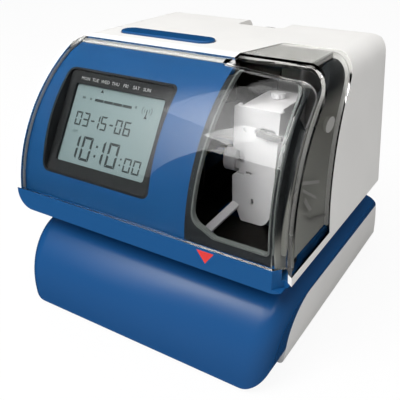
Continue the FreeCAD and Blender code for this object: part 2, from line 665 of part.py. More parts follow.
def rear_corner_cut(inset, foot):
    """Material outside the rounded upright rear corners of the head."""
    radius = REAR_CORNER - inset
    cuts = []
    for side in (-1, 1):
        low = Vector(side * wall_x(foot, inset), rear_y(foot, inset), foot)
        high = Vector(side * wall_x(HEAD_TOP + 5, inset), rear_y(HEAD_TOP + 5, inset), HEAD_TOP + 5)
        x0, x1 = sorted((low.x - side * radius, low.x + side * 8))
        square = [Vector(x0, low.y - radius, foot), Vector(x1, low.y - radius, foot),
                  Vector(x1, low.y + 8, foot), Vector(x0, low.y + 8, foot)]
        corner = Part.Face(Part.makePolygon(square + square[:1])).extrude(high - low)
        ring = Part.makeCircle(radius, Vector(low.x - side * radius, low.y - radius, foot))
        cuts.append(corner.cut(Part.Face(Part.Wire(ring)).extrude(high - low)))
    return cuts


def head_form(inset, foot):
    """Outer form of the head, moved inwards, from a foot height upwards."""
    top, front = HEAD_TOP - inset, FRONT_Y + inset
    corner = max(REAR_TOP_CORNER - inset, 1.0)
    side_view = [(front, foot, 0), (rear_y(foot, inset), foot, 0), (rear_y(top, inset), top, corner),
                 (front, top, 0)]
    form = prism("yz", side_view, -HEAD_WIDTH, HEAD_WIDTH).common(width_region(inset, foot - 1))
    ahead = box(-HEAD_WIDTH, HEAD_WIDTH, front - 5, ARC_Y, WAIST, HEAD_TOP + 5)
    form = form.cut(ahead.cut(rod("x", ARC_Y, WAIST, ARC_RADIUS - inset, -FAR, FAR)))
    for cutter in rear_corner_cut(inset, foot):
        form = form.cut(cutter)
    return form


def lens_region(grow):
    """The arched front inside the left rim, up to the groove along the brow."""
    reach = LENS_HEAD + grow / 3
    band = arch_band(-5, CASE_WALL + 1, -HEAD_WIDTH, HEAD_WIDTH, WAIST - 0.01, reach)
    left = sharp([(-wall_x(0) + LENS_LEFT_RIM - grow, 0), (FAR, 0), (FAR, FAR),
                  (-wall_x(FAR) + LENS_LEFT_RIM - grow, FAR)])
    return band.common(prism("xz", left, -FAR, FAR))


def wrap_region(grow):
    """Space in front of the rear edge of the clear side and top."""
    foot = CASE_EDGE + WRAP_STRIP - grow
    low = Vector(0, FRONT_Y + WRAP_FOOT_RUN + grow, foot)
    mid = Vector(0, FRONT_Y + WRAP_MID_RUN + grow, WRAP_MID_HEIGHT)
    high = Vector(0, FRONT_Y + WRAP_TOP_RUN + grow, HEAD_TOP + 0.5)
    corner, front = Vector(0, FRONT_Y - 10, HEAD_TOP + 0.5), Vector(0, FRONT_Y - 10, foot)
    edges = [Part.Arc(low, mid, high).toShape(), Part.makeLine(high, corner), Part.makeLine(corner, front),
             Part.makeLine(front, low)]
    region = Part.Face(Part.Wire(edges)).extrude(Vector(HEAD_WIDTH, 0, 0))
    brow = FRONT_Y + BROW_RUN
    top = prism("xy", sharp([(WRAP_LEFT - grow + WRAP_SLANT * (y - brow), y) for y in (-FAR, FAR)]
                            + [(FAR, FAR), (FAR, -FAR)]), LENS_HEAD - 8, FAR)
    side = box(HEAD_WIDTH / 4, FAR, -FAR, FAR, -FAR, LENS_HEAD)
    return region.common(union(top, side))


def groove_profile():
    """V groove around the lens face, as points (across from its tip, depth)."""
    return [(-GROOVE_SPREAD - 1, -1.2), (0, GROOVE_DEPTH), (GROOVE_INSET + 1, GROOVE_DEPTH * 0.2),
            (GROOVE_INSET + 2, -2)]


def ridge_profile(grow=0.0):
    """Wall behind that groove, as points (across from its tip, depth)."""
    return [(-GROOVE_SPREAD - 2 - grow, 0.6), (-GROOVE_SPREAD * 0.36 - grow, GROOVE_DEPTH + 1.2 + grow),
            (0, GROOVE_DEPTH + 2 + grow), (1.2 + grow, GROOVE_DEPTH + 1.6 + grow), (GROOVE_INSET + 1,
                                                                                    2.2 + grow)]


def groove_course(profile):
    """A profile carried up the arched front beside the right wall, around the corner and along the brow."""
    pivot = Vector(wall_x(WAIST), ARC_Y, WAIST)
    tip = pivot.x - GROOVE_INSET
    points = [Vector(tip + across, FRONT_Y + depth, WAIST) for across, depth in profile]
    face = Part.Face(Part.makePolygon(points + points[:1]))
    turn = arch_angle(GROOVE_HEIGHT) - GROOVE_TURN / ARC_RADIUS
    rise = face.revolve(pivot, Vector(-1, 0, 0), math.degrees(turn))
    face.rotate(pivot, Vector(-1, 0, 0), math.degrees(turn))
    outward = Vector(0, -math.cos(turn), math.sin(turn))
    centre = Vector(tip - GROOVE_TURN, *arch_point(0, turn))
    bend = face.revolve(centre, outward, GROOVE_SWEEP)
    face.rotate(centre, outward, GROOVE_SWEEP)
    for shape in (rise, bend, face):
        shape.rotate(pivot, Vector(0, -1, 0), SIDE_LEAN)
    brow = face.extrude((Vector(-1, 0, 0) + outward * GROOVE_FADE) * GROOVE_LENGTH)
    return [rise, bend, brow]


def groove_post(profile):
    """The same profile carried straight down below the waist."""
    tip = wall_x(WAIST) - GROOVE_INSET
    points = sharp([(tip + across, FRONT_Y + depth) for across, depth in profile])
    return prism("xy", points, PAN_FLOOR + 2, WAIST)


def make_cover():
    """Upper case and the smoked clear cover that is fixed into it."""
    shell = head_form(0, CASE_EDGE).cut(head_form(CASE_WALL, CASE_EDGE - 2))
    lens, wrap = lens_region(0), wrap_region(0)
    clear = union(shell.common(lens), shell.common(wrap))
    case = shell.cut(lens_region(JOINT_GAP)).cut(wrap_region(JOINT_GAP))
    under_lens = box(-FAR, HEAD_WIDTH / 2 - LIP_RIGHT + SEAM_GAP, FRONT_Y - 1, FRONT_Y + LIP_T + SEAM_GAP,
                     0, WAIST)
    case = case.cut(under_lens)
    clear = clear.cut(under_lens)
    room = head_form(0, WAIST)
    for ridge in groove_course(ridge_profile()):
        clear = clear.fuse(ridge.common(room))
    grooves = groove_course(groove_profile()) + [groove_post(groove_profile())]
    for groove in grooves:
        clear = clear.cut(groove)
        case = case.cut(groove)
    save("clear_cover", clear)

    case = case.cut(clear)
    for ledge in cover_ledges(lens_region(JOINT_GAP), wrap_region(JOINT_GAP)):
        case = case.fuse(ledge.cut(clear))
    case = bar_well(case)
    case = lock_notch(case)
    save("upper_case", case.removeSplitter())


def cover_ledges(lens, wrap):
    """Rebates of the case for the clear cover: round its rear edge, under its top and along the brow."""
    inner = head_form(CASE_WALL + LEDGE_GAP + LEDGE_T, CASE_EDGE - 2)
    layer = head_form(CASE_WALL - 0.3, CASE_EDGE).cut(inner)
    skin = head_form(0, CASE_EDGE).cut(head_form(CASE_WALL + LEDGE_GAP, CASE_EDGE - 2))
    layer = layer.cut(skin.common(wrap)).cut(skin.common(lens))
    brow_y = FRONT_Y + BROW_RUN
    edge = wrap_region(4).cut(wrap_region(-1))
    side = edge.common(box(HEAD_WIDTH / 4, FAR, FRONT_Y + 30, FAR, RIM_TOP + SEAM_GAP, FAR))
    top = wrap_region(4).common(box(0, wall_x(HEAD_TOP) - BLIND_ROOF, brow_y + 3, FAR, HEAD_TOP - 6, FAR))
    behind = PANEL_INSET + LEDGE_T
    band = arch_band(PANEL_INSET, behind, -HEAD_WIDTH, WRAP_LEFT - 2, PANEL_TOP + 0.3, HEAD_TOP - 0.2)
    root = arch_band(CASE_WALL - 0.3, behind, -HEAD_WIDTH, WRAP_LEFT - 2, LENS_HEAD + 0.3, HEAD_TOP - 0.2)
    brow = union(band, root).common(width_region(CASE_WALL - 0.3))
    return [layer.common(side), layer.common(top), brow.cut(skin.common(wrap)).cut(skin.common(lens))]


def bar_space(gap, low, high):
    """Block over the plan of the push bar."""
    y = FRONT_Y + BAR_RUN
    return slab(BAR_LEFT - gap, BAR_RIGHT + gap, y - BAR_WIDTH / 2 - gap, y + BAR_WIDTH / 2 + gap,
                BAR_WIDTH / 2 + gap - 0.01, low, high)


def bar_well(case):
    """Opening for the push bar, with the well that holds its springs."""
    well = bar_space(BAR_GAP + 1.6, WELL_FLOOR - 1.6, HEAD_TOP - CASE_WALL / 2)
    case = case.fuse(well).cut(bar_space(BAR_GAP, WELL_FLOOR, HEAD_TOP + 1))
    x, y = (BAR_LEFT + BAR_RIGHT) / 2, FRONT_Y + BAR_RUN
    return case.cut(rod("z", x, y, STEM_RADIUS + BAR_GAP, WELL_FLOOR - 3, WELL_FLOOR + 1))


def lock_notch(case):
    """Recess at the rear of the top, with the hole for the lock."""
    y0, y1 = rear_y(HEAD_TOP) - NOTCH_RUN, rear_y(HEAD_TOP) + 2
    floor = HEAD_TOP - NOTCH_DEPTH
    x0, x1 = LOCK_X - NOTCH_WIDTH / 2, LOCK_X + NOTCH_WIDTH / 2
    pocket = slab(x0 - 2, x1 + 2, y0 - 2, y1, 4, floor - CASE_WALL,
                  HEAD_TOP - 0.5).common(head_form(0.4, CASE_EDGE))
    case = case.fuse(pocket)
    case = case.cut(slab(x0, x1, y0, y1 + 10, 3, floor, HEAD_TOP + 1))
    return case.cut(rod("z", LOCK_X, LOCK_Y, LOCK_RADIUS, floor - 10, HEAD_TOP + 1))


def make_push_bar():
    """Push bar with its stem, and the two springs under it."""
    top, bottom = HEAD_TOP + BAR_PROUD, HEAD_TOP + BAR_PROUD - BAR_HEIGHT
    bar = bar_space(0, bottom, top)
    bar = bar.makeFillet(0.8, [edge for edge in bar.Edges if edge.BoundBox.ZMin > top - 0.01])
    x, y = (BAR_LEFT + BAR_RIGHT) / 2, FRONT_Y + BAR_RUN
    stem = rod("z", x, y, STEM_RADIUS, STEM_FOOT, bottom + 1)
    save("push_bar", union(bar, stem))
    springs = []
    for side in (-1, 1):
        springs.append(coil_spring(x + side * (BAR_RIGHT - BAR_LEFT) / 3, y, WELL_FLOOR + SPRING_WIRE,
                                   bottom - SPRING_WIRE, SPRING_RADIUS))
    save("push_bar_springs", *springs)


def coil_spring(x, y, low, high, radius):
    """Compression spring standing on end, its wire drawn in short straight runs."""
    steps = SPRING_TURNS * 10
    points = []
    for i in range(steps + 1):
        angle = i * math.pi / 5
        points.append(Vector(x + radius * math.cos(angle), y + radius * math.sin(angle),
                             low + (high - low) * i / steps))
    ahead = (points[1] - points[0]).normalize()
    outward = Vector(1, 0, 0)
    upward = ahead.cross(outward)
    ways = ((1, 0), (0, 1), (-1, 0), (0, -1))
    section = [points[0] + outward * SPRING_WIRE * a + upward * SPRING_WIRE * b for a, b in ways]
    return Part.makePolygon(points).makePipeShell([Part.makePolygon(section + section[:1])], True, False, 1)


def make_lock():
    """Cylinder lock in the notch: barrel in the case, turning plug and cam."""
    floor = HEAD_TOP - NOTCH_DEPTH
    barrel = union(rod("z", LOCK_X, LOCK_Y, LOCK_RADIUS, CAM_HEIGHT + CAM_T + 0.3, floor),
                   rod("z", LOCK_X, LOCK_Y, LOCK_RADIUS + 1.5, floor, floor + 1))
    bore = rod("z", LOCK_X, LOCK_Y, PLUG_RADIUS + SHAFT_CLEARANCE, CAM_HEIGHT, floor + 2)
    save("lock_barrel", barrel.cut(bore))
    plug = rod("z", LOCK_X, LOCK_Y, PLUG_RADIUS, CAM_HEIGHT + CAM_T, floor + 1.2)
    save("lock_plug", plug.cut(box(LOCK_X - 2.4, LOCK_X + 2.4, LOCK_Y - 0.5, LOCK_Y + 0.5, floor - 8,
                                   floor + 2)))
    cam = slab(LOCK_X - 4, LOCK_X + CAM_LENGTH, LOCK_Y - 3.5, LOCK_Y + 3.5, 3.4, CAM_HEIGHT,
               CAM_HEIGHT + CAM_T)
    save("lock_cam", cam)


def make_pan():
    """Blue pan under the head: front lip, floor with its slots, rim inside the case."""
    half = HEAD_WIDTH / 2
    corners = [(-half, PAN_FLOOR, PAN_CORNER), (half, PAN_FLOOR, PAN_CORNER), (wall_x(WAIST), WAIST, 0),
               (-wall_x(WAIST), WAIST, 0)]
    rear = rear_y(CASE_EDGE)
    plan = [(-half - 5, FRONT_Y, 0), (half + 5, FRONT_Y, 0), (half + 5, rear, 0), (-half - 5, rear, 0)]
    outer = prism("xz", corners, -FAR, FAR).common(prism("xy", plan, 0, FAR))
    for cutter in rear_corner_cut(0, PAN_FLOOR - 1):
        outer = outer.cut(cutter)
    thick = CASE_WALL + 3
    inner = slab(-half + thick, half - thick, FRONT_Y + LIP_T, rear - thick, 5, PAN_TOP, FAR)
    low = outer.common(below(SHOULDER)).cut(inner)
    gap = CASE_WALL + SEAM_GAP + (WAIST - CASE_EDGE) * math.tan(math.radians(SIDE_LEAN))
    ring = slab(-half + gap, half - gap, FRONT_Y + LIP_T - 1, rear - gap, REAR_CORNER - gap, SHOULDER - 1,
                RIM_TOP)
    hole = slab(-half + gap + RIM_T, half - gap - RIM_T, FRONT_Y + LIP_T - 2, rear - gap - RIM_T,
                REAR_CORNER - gap - RIM_T, SHOULDER - 2, RIM_TOP + 1)
    rim = ring.cut(hole).common(box(-FAR, FAR, FRONT_Y + LIP_T + 12, FAR, 0, FAR))
    lip = outer.common(box(-FAR, half - LIP_RIGHT, FRONT_Y, FRONT_Y + LIP_T, PAN_FLOOR, WAIST - SEAM_GAP))
    pan = union(low, rim, lip)
    pan = pan.cut(groove_post(groove_profile()))
    for slot in (print_slot(PAN_FLOOR, PAN_TOP + 1), trigger_slot(PAN_FLOOR, PAN_TOP + 1), web_slot()):
        pan = pan.cut(slot)
    marker = pointer()
    save("head_pan", pan.cut(marker))
    save("print_pointer", marker)


def pointer():
    """Red triangle let into the lip over the print position."""
    top = WAIST - SEAM_GAP - 1.2
    corners = sharp([(POINTER_X - POINTER_WIDTH / 2, top), (POINTER_X + POINTER_WIDTH / 2, top),
                     (POINTER_X, top - POINTER_HEIGHT)])
    return prism("xz", corners, FRONT_Y, FRONT_Y + 0.8)


def chord():
    """Angle of the display's chord from the upright, and its middle point, on the panel."""
    low = arch_point(PANEL_INSET, arch_angle(BEZEL_FOOT))
    high = arch_point(PANEL_INSET, arch_angle(BEZEL_HEAD))
    angle = math.atan2(high[0] - low[0], high[1] - low[1])
    length = math.hypot(high[0] - low[0], high[1] - low[1])
    return angle, length, Vector(0, (low[0] + high[0]) / 2, (low[1] + high[1]) / 2)


def display_block(left, right, foot, head, radius, near, far):
    """Block square to the display, between two depths behind its chord."""
    angle, _, middle = chord()
    corners = [(left, foot, radius), (right, foot, radius), (right, head, radius), (left, head, radius)]
    block = prism("xy", corners, -far, -near)
    block.rotate(Vector(0, 0, 0), Vector(1, 0, 0), 90 - math.degrees(angle))
    block.translate(middle)
    return block


def make_display():
    """Front panel, dark bezel, glass, its board and the setting keys."""
    _, length, _ = chord()
    foot, head = -length / 2, length / 2
    outer = display_block(BEZEL_LEFT, BEZEL_RIGHT, foot, head, BEZEL_CORNER, -12, DISPLAY_DEPTH)
    well = display_block(BEZEL_LEFT + BEZEL_RIM, BEZEL_RIGHT - BEZEL_RIM, foot + BEZEL_RIM, head - BEZEL_RIM,
                         BEZEL_CORNER - BEZEL_RIM, -13, DISPLAY_DEPTH - BEZEL_PLATE)
    opening = (BEZEL_LEFT + BEZEL_BORDER_X, BEZEL_RIGHT - BEZEL_BORDER_X,
               foot + BEZEL_BORDER_FOOT, head - BEZEL_BORDER_HEAD)
    hole = display_block(*opening, 1.0, 0, DISPLAY_DEPTH + 1)
    form = outer.common(rod("x", ARC_Y, WAIST, ARC_RADIUS - PANEL_INSET, -FAR, FAR))
    bezel = form.cut(well).cut(hole)
    save("display_bezel", bezel)
    glass = (opening[0] - GLASS_MARGIN, opening[1] + GLASS_MARGIN,
             opening[2] - GLASS_MARGIN, opening[3] + GLASS_MARGIN)
    save("display_glass", display_block(*glass, 0.5, DISPLAY_DEPTH, DISPLAY_DEPTH + GLASS_T))
    board = (glass[0] - 4, glass[1] + 4, glass[2] - 3, glass[3] + 2)
    save("display_board", display_block(*board, 1, DISPLAY_DEPTH + GLASS_T,
                                        DISPLAY_DEPTH + GLASS_T + BOARD_T))

    side = CASE_WALL + PANEL_SIDE_GAP
    panel = arch_band(PANEL_INSET, PANEL_INSET + PANEL_T, -HEAD_WIDTH, PANEL_SPLIT, SHOULDER, PANEL_TOP)
    panel = panel.common(width_region(side)).cut(outer)
    flange = arch_band(PANEL_INSET, PANEL_INSET + PANEL_RETURN, -HEAD_WIDTH, 0, SHOULDER, PANEL_TOP - 8)
    flange = flange.common(width_region(side)).cut(width_region(side + 1.6))
    shelf = box(KEY_FIRST_X - 8, KEY_LAST_X + 8, FRONT_Y + KEY_RUN - 18, FRONT_Y + KEY_RUN + 4,
                SHELF_HEIGHT - 1.6, SHELF_HEIGHT)
    keep = rod("x", ARC_Y, WAIST, ARC_RADIUS - PANEL_INSET - PANEL_T / 2, -FAR, FAR)
    save("front_panel", union(panel, flange, shelf.common(keep)))

    key_y = FRONT_Y + KEY_RUN
    strip = slab(KEY_FIRST_X - 7, KEY_LAST_X + 7, key_y - 5, key_y + 3, 1, SHELF_HEIGHT,
                 SHELF_HEIGHT + BOARD_T)
    save("key_board", strip)
    seat = SHELF_HEIGHT + BOARD_T
    collars = []
    for i, name in enumerate(("select_key", "change_key", "set_key")):
        x = KEY_FIRST_X + i * KEY_PITCH
        collar = slab(x - 4, x + 4, key_y - 4, key_y + 3, 1, seat, seat + 3)
        collars.append(collar.cut(rod("z", x, key_y, KEY_RADIUS + 0.1, seat + 0.6, seat + 4)))
        save(name, rod("z", x, key_y, KEY_RADIUS, seat + 0.6 + KEY_TRAVEL + 0.3, seat + 5))
    save("key_collars", *collars)


def window_opening(grow):
    """Space in front of and behind the window, moved outwards."""
    lean = math.tan(math.radians(SIDE_LEAN))
    top_right = WINDOW_RIGHT - lean * (WINDOW_HEAD - WAIST) + grow
    foot_right = WINDOW_RIGHT - lean * (WINDOW_FOOT - WAIST) + grow
    left, foot, head = WINDOW_LEFT - grow, WINDOW_FOOT - grow, WINDOW_HEAD + grow
    corners = [(left, foot + 5, WINDOW_CORNER), (left + 6, foot + 3, 1.5), (left + 12, foot, 3),
               (foot_right, foot, 2),
               (top_right, head, WINDOW_CORNER), (left, head, 2)]
    return prism("xz", corners, -FAR, FAR)


def make_window_frame():
    """Dark frame around the window, its return wall, the wall behind the clear side, and a light bead."""
    band = arch_band(PANEL_INSET, PANEL_INSET + PANEL_T, PANEL_SPLIT, HEAD_WIDTH, SHOULDER, PANEL_TOP)
    frame = band.common(width_region(FRAME_INSET)).cut(window_opening(0))
    right = box(0, FAR, -FAR, FAR, 0, FAR)
    wall = arch_band(PANEL_INSET, PANEL_INSET + FRAME_RETURN, 0, HEAD_WIDTH, SHOULDER, PANEL_TOP - 12)
    wall = wall.common(width_region(FRAME_INSET)).cut(width_region(FRAME_INSET + FRAME_WALL)).common(right)
    reach = box(wall_x(HEAD_TOP) - BLIND_ROOF + 1, FAR, -FAR, FRONT_Y + WRAP_TOP_RUN, RIM_TOP + 0.4, FAR)
    blind = width_region(BLIND_INSET).cut(width_region(BLIND_INSET + 1.4)).common(reach)
    blind = blind.common(rod("x", ARC_Y, WAIST, ARC_RADIUS - BLIND_DEPTH, 0, FAR))
    link = arch_band(BLIND_DEPTH + 2, BLIND_DEPTH + 4, 0, HEAD_WIDTH, WAIST, PANEL_TOP - 14)
    link = link.common(width_region(BLIND_INSET)).cut(width_region(FRAME_INSET + FRAME_WALL)).common(right)
    frame = union(frame, wall, blind, link.common(above(RIM_TOP + 0.4)))
    for ridge in groove_course(ridge_profile(0.5)):
        frame = frame.cut(ridge)
    save("window_frame", frame)

    bead = arch_band(PANEL_INSET - 0.3, PANEL_INSET + PANEL_T + 0.3, PANEL_SPLIT, HEAD_WIDTH, SHOULDER,
                     PANEL_TOP)
    bead = bead.common(window_opening(0)).cut(window_opening(-RIM_WIDTH))
    for ridge in groove_course(ridge_profile(0.5)):
        bead = bead.cut(ridge)
    save("window_bead", bead)


# ---------------------------------------------------------------- the print unit
def make_side_plates():
    """Left and right plates, guide shafts and the idler post."""
    y0, y1 = FRONT_Y + PLATE_FRONT_RUN, FRONT_Y + PLATE_REAR_RUN
    profile = [(y0, PLATE_FOOT, 0), (y1, PLATE_FOOT, 0), (y1, PLATE_TOP - 6, 5), (y0 + 16, PLATE_TOP, 5),
               (y0, PLATE_TOP - 14, 5)]
    window = [(y0 + 14, PLATE_FOOT + 8, 4), (y1 - 9, PLATE_FOOT + 8, 4), (y1 - 9, SHAFT_HEIGHT - 9, 4),
              (y0 + 14, SHAFT_HEIGHT - 9, 4)]
    shafts = [(PRINT_Y, SHAFT_HEIGHT), (PRINT_Y + SHAFT_SPACING, SHAFT_HEIGHT)]
    for name, x0 in (("side_plate_left", PLATE_LEFT_X - PLATE_T),
                     ("side_plate_right", PLATE_RIGHT_X - PLATE_T)):
        plate = prism("yz", profile, x0, x0 + PLATE_T)
        plate = plate.cut(prism("yz", window, x0 - 1, x0 + PLATE_T + 1))
        for y, z in shafts:
            plate = plate.cut(rod("x", y, z, SHAFT_RADIUS, x0 - 1, x0 + PLATE_T + 1))
        inward = 1 if name.endswith("left") else -1
        edge = x0 + PLATE_T / 2
        tab_x = sorted((edge, edge + inward * FLANGE_WIDTH))
        foot_tab = box(*tab_x, y1 - 22, y1 - 6, PLATE_FOOT, PLATE_FOOT + PLATE_T)
        parts = [foot_tab]
        if inward == 1:
            face = [(tab_x[0], SHAFT_HEIGHT - 28, 0), (tab_x[1] - 4, SHAFT_HEIGHT - 28, 1),
                    (tab_x[1], SHAFT_HEIGHT - 22, 1), (tab_x[1], SHAFT_HEIGHT + 1, 1), (tab_x[0],
                                                                                        SHAFT_HEIGHT + 1, 0)]
            parts.append(prism("xz", face, y0, y0 + PLATE_T))
        save(name, union(plate, *parts))
    left, right = PLATE_LEFT_X - PLATE_T - 2, PLATE_RIGHT_X + 2
    for name, (y, z) in zip(("guide_shaft_front", "guide_shaft_rear"), shafts):
        save(name, rod("x", y, z, SHAFT_RADIUS, left, right))


def make_carriage():
    """Carriage, print head, shield, ribbon cassette, ribbon and its guides."""
    x0, x1 = PRINT_X - CARRIAGE_WIDTH / 2, PRINT_X + CARRIAGE_WIDTH / 2
    rear = PRINT_Y + SHAFT_SPACING
    low, high = SHAFT_HEIGHT - SHAFT_RADIUS - CARRIAGE_WALL, SHAFT_HEIGHT + SHAFT_RADIUS + CARRIAGE_WALL
    reach = SHAFT_RADIUS + CARRIAGE_WALL
    block = slab_yz(PRINT_Y - reach, rear + reach, low, high, 4, x0, x1)
    block = block.cut(box(x0 + 3, x1 - 3, PRINT_Y + reach, rear - reach, low - 1, high - 2.5))
    mount = box(x0 + 1, x1 - 1, PRINT_Y - 8, PRINT_Y + 8, HEAD_BODY_HEAD, low + 1)
    belt_front = FRONT_Y + BELT_RUN - PULLEY_RADIUS - BELT_T - SEAM_GAP
    clamp = box(PRINT_X - 6, PRINT_X + 6, rear + reach - 4, belt_front, BELT_HEIGHT, low + 2)
    carriage = union(block, mount, clamp)
    lug_left = PLATE_LEFT_X + CARRIAGE_LEFT_TRAVEL + 1
    carriage = carriage.fuse(carriage_lug(lug_left, x0))
    for y in (PRINT_Y, rear):
        carriage = carriage.cut(rod("x", y, SHAFT_HEIGHT, SHAFT_RADIUS + SHAFT_CLEARANCE, lug_left - 1,
                                    x1 + 1))
    save("carriage", carriage)

    body = rod("z", PRINT_X, PRINT_Y, HEAD_BODY_RADIUS, HEAD_BODY_FOOT, HEAD_BODY_HEAD)
    for step in range(3):
        level = HEAD_BODY_FOOT + 8 + step * 4
        ring = rod("z", PRINT_X, PRINT_Y, HEAD_BODY_RADIUS + 1, level, level + 2)
        body = body.cut(ring.cut(rod("z", PRINT_X, PRINT_Y, HEAD_BODY_RADIUS - 2, level, level + 2)))
    cone = Part.makeCone(NOSE_WIDTH / 2, HEAD_BODY_RADIUS - 1, 6,
                         Vector(PRINT_X, PRINT_Y, HEAD_BODY_FOOT - 6))
    nose = slab(PRINT_X - NOSE_WIDTH / 2, PRINT_X + NOSE_WIDTH / 2, PRINT_Y - NOSE_DEPTH / 2,
                PRINT_Y + NOSE_DEPTH / 2, 1, NOSE_TIP, HEAD_BODY_FOOT)
    save("print_head", union(body, cone, nose))

    make_shield(PRINT_Y - reach)

    top = high + CASSETTE_HEIGHT
    c0 = FRONT_Y + SHIELD_FRONT_RUN + SHIELD_T + CASSETTE_CLEAR
    c1 = FRONT_Y + SHIELD_FRONT_RUN + CASSETTE_DEPTH
    cx = CASSETTE_WIDTH / 2 - SHIELD_T - 0.5
    body = slab(PRINT_X - cx, PRINT_X + cx, c0, c1, 3, high, top - 1.4)
    lid = slab(PRINT_X - cx, PRINT_X + cx, c0, c1, 3, top - 1.4, top)
    knob_y = (c0 + c1) / 2 + 4
    pit = rod("z", PRINT_X, knob_y, KNOB_PIN + SHAFT_CLEARANCE, top - 8, top + 1)
    save("ribbon_cassette", body.cut(pit))
    save("cassette_lid", lid.cut(pit))
    knob = rod("z", PRINT_X, knob_y, KNOB_RADIUS, top + 0.3, top + 0.3 + KNOB_T)
    for turn in range(8):
        angle = turn * math.pi / 4
        x, y = PRINT_X + (KNOB_RADIUS + 0.3) * math.cos(angle), knob_y + (KNOB_RADIUS + 0.3) * math.sin(angle)
        knob = knob.cut(rod("z", x, y, 0.8, top, top + 5))
    save("take_up_knob", union(knob, rod("z", PRINT_X, knob_y, KNOB_PIN, top - 7.5, top + 1)))
    make_ribbon()
    make_lever()


def carriage_lug(left, right):
    """Round lug beside the print unit, joined to the carriage behind the ribbon."""
    height = SHAFT_HEIGHT - LUG_DROP
    edge = PRINT_X - RIBBON_SPREAD - 2
    lug = rod("x", PRINT_Y - 1, height, LUG_RADIUS, left, edge)
    neck = box(edge - 4, edge, PRINT_Y, PRINT_Y + 10, height - 3, height + 3)
    arm = box(edge - 4, right + 1, PRINT_Y + 6, PRINT_Y + 10, height - 3, height + 3)
    return union(lug, neck, arm)


def make_shield(seat):
    """Stepped white shield on the front of the carriage, and the grey finger at its lower left corner."""
    half, face = SHIELD_WIDTH / 2, FRONT_Y + SHIELD_FRONT_RUN
    upper, middle = SHAFT_HEIGHT + 3, SHAFT_HEIGHT - 10
    front = [(-half + 5, SHIELD_FOOT, 1), (half - 4, SHIELD_FOOT, 5), (half - 0.4, SHIELD_FOOT + 7, 2),
             (half + 0.4, upper, 1), (half + 1, SHIELD_TOP, 1), (-half - 0.4, SHIELD_TOP, 1), (-half - 0.4,
                                                                                               upper, 2),
             (-half + 6, upper - 2, 2), (-half + 6, middle, 1), (-half - 0.6, middle - 0.6, 2),
             (-half, SHIELD_FOOT + 8, 1), (-half + 2.5, SHIELD_FOOT + 6, 1)]
    shield = prism("xz", [(PRINT_X + a, b, r) for a, b, r in front], face, face + SHIELD_RETURN)
    room = box(PRINT_X - half + SHIELD_T, PRINT_X + half - SHIELD_T, face + SHIELD_T,
               face + SHIELD_RETURN + 1,
               0, FAR)
    shield = shield.cut(room)
    slot = slab_xz(PRINT_X + 5, LEVER_HEIGHT, 11, 4.4, 2.1, face - 1, face + SHIELD_T + 1)
    shield = shield.cut(slot).cut(rod("y", PRINT_X - 5.5, LEVER_HEIGHT, 1.2, face - 1, face + SHIELD_T + 1))
    shield = shield.cut(slab_xz(PRINT_X, SHIELD_FOOT + 12, 1.4, 3.4, 0.5, face - 1, face + SHIELD_T + 1))
    shield = shield.cut(slab_xz(PRINT_X - 2.5, middle + 1.5, 3, 1.6, 0.5, face - 1, face + SHIELD_T + 1))
    bridge = box(PRINT_X - 4, PRINT_X + 7, face + SHIELD_T, seat, SHAFT_HEIGHT - 2, SHAFT_HEIGHT + 2)
    save("head_shield", union(shield, bridge))

    root = Vector(PRINT_X - half + 2, face + 1, SHIELD_FOOT + 8.5)
    tip = Vector(root.x - 4.5, face - 18, PLATE_FOOT + 2.4)
    finger = slab_between(root, tip, 4.0, 2.2)
    save("guide_finger", finger.common(box(-FAR, FAR, -FAR, face, PLATE_FOOT + 0.4, FAR)))


def slab_between(start, end, width, thick):
    """Flat bar with rounded ends from one point to another."""
    way = end - start
    bar = slab(-thick, way.Length + thick, -width / 2, width / 2, width / 2 - 0.05, -thick / 2, thick / 2)
    bar.Placement = FreeCAD.Placement(start, FreeCAD.Rotation(Vector(1, 0, 0), way))
    return bar


def slab_yz(y0, y1, z0, z1, radius, x0, x1):
    """Block with rounded edges along X."""
    return prism("yz", [(y0, z0, radius), (y1, z0, radius), (y1, z1, radius), (y0, z1, radius)], x0, x1)


def make_ribbon():
    """Band of inked ribbon under the print nose, and its guides on the carriage."""
    y0, y1 = PRINT_Y - RIBBON_WIDTH / 2, PRINT_Y + RIBBON_WIDTH / 2
    top = SHAFT_HEIGHT - SHAFT_RADIUS - 1
    side, half, t = RIBBON_SPREAD, NOSE_WIDTH / 2, RIBBON_T
    outer = [(side, top), (side, RIBBON_TURN), (half, NOSE_TIP - t), (-half, NOSE_TIP - t),
             (-side, RIBBON_TURN),
             (-side, top)]
    inner = [(-side + t, top), (-side + t, RIBBON_TURN), (-half, NOSE_TIP), (half, NOSE_TIP),
             (side - t, RIBBON_TURN),
             (side - t, top)]
    points = sharp([(PRINT_X + a, b) for a, b in outer + inner])
    save("ink_ribbon", prism("xz", points, y0, y1))
    guides = []
    for way in (-1, 1):
        x0, x1 = sorted((PRINT_X + way * (CARRIAGE_WIDTH / 2 - 1), PRINT_X + way * (side + 1.5)))
        guide = slab(x0, x1, y0 - 1.5, y1 + 1.5, 0.6, top - 6, top - 2)
        a0, a1 = sorted((PRINT_X + way * (side - t - 0.2), PRINT_X + way * (side + 0.2)))
        guides.append(guide.cut(box(a0, a1, y0 - 0.3, y1 + 0.3, top - 7, top)))
    save("ribbon_guides", *guides)


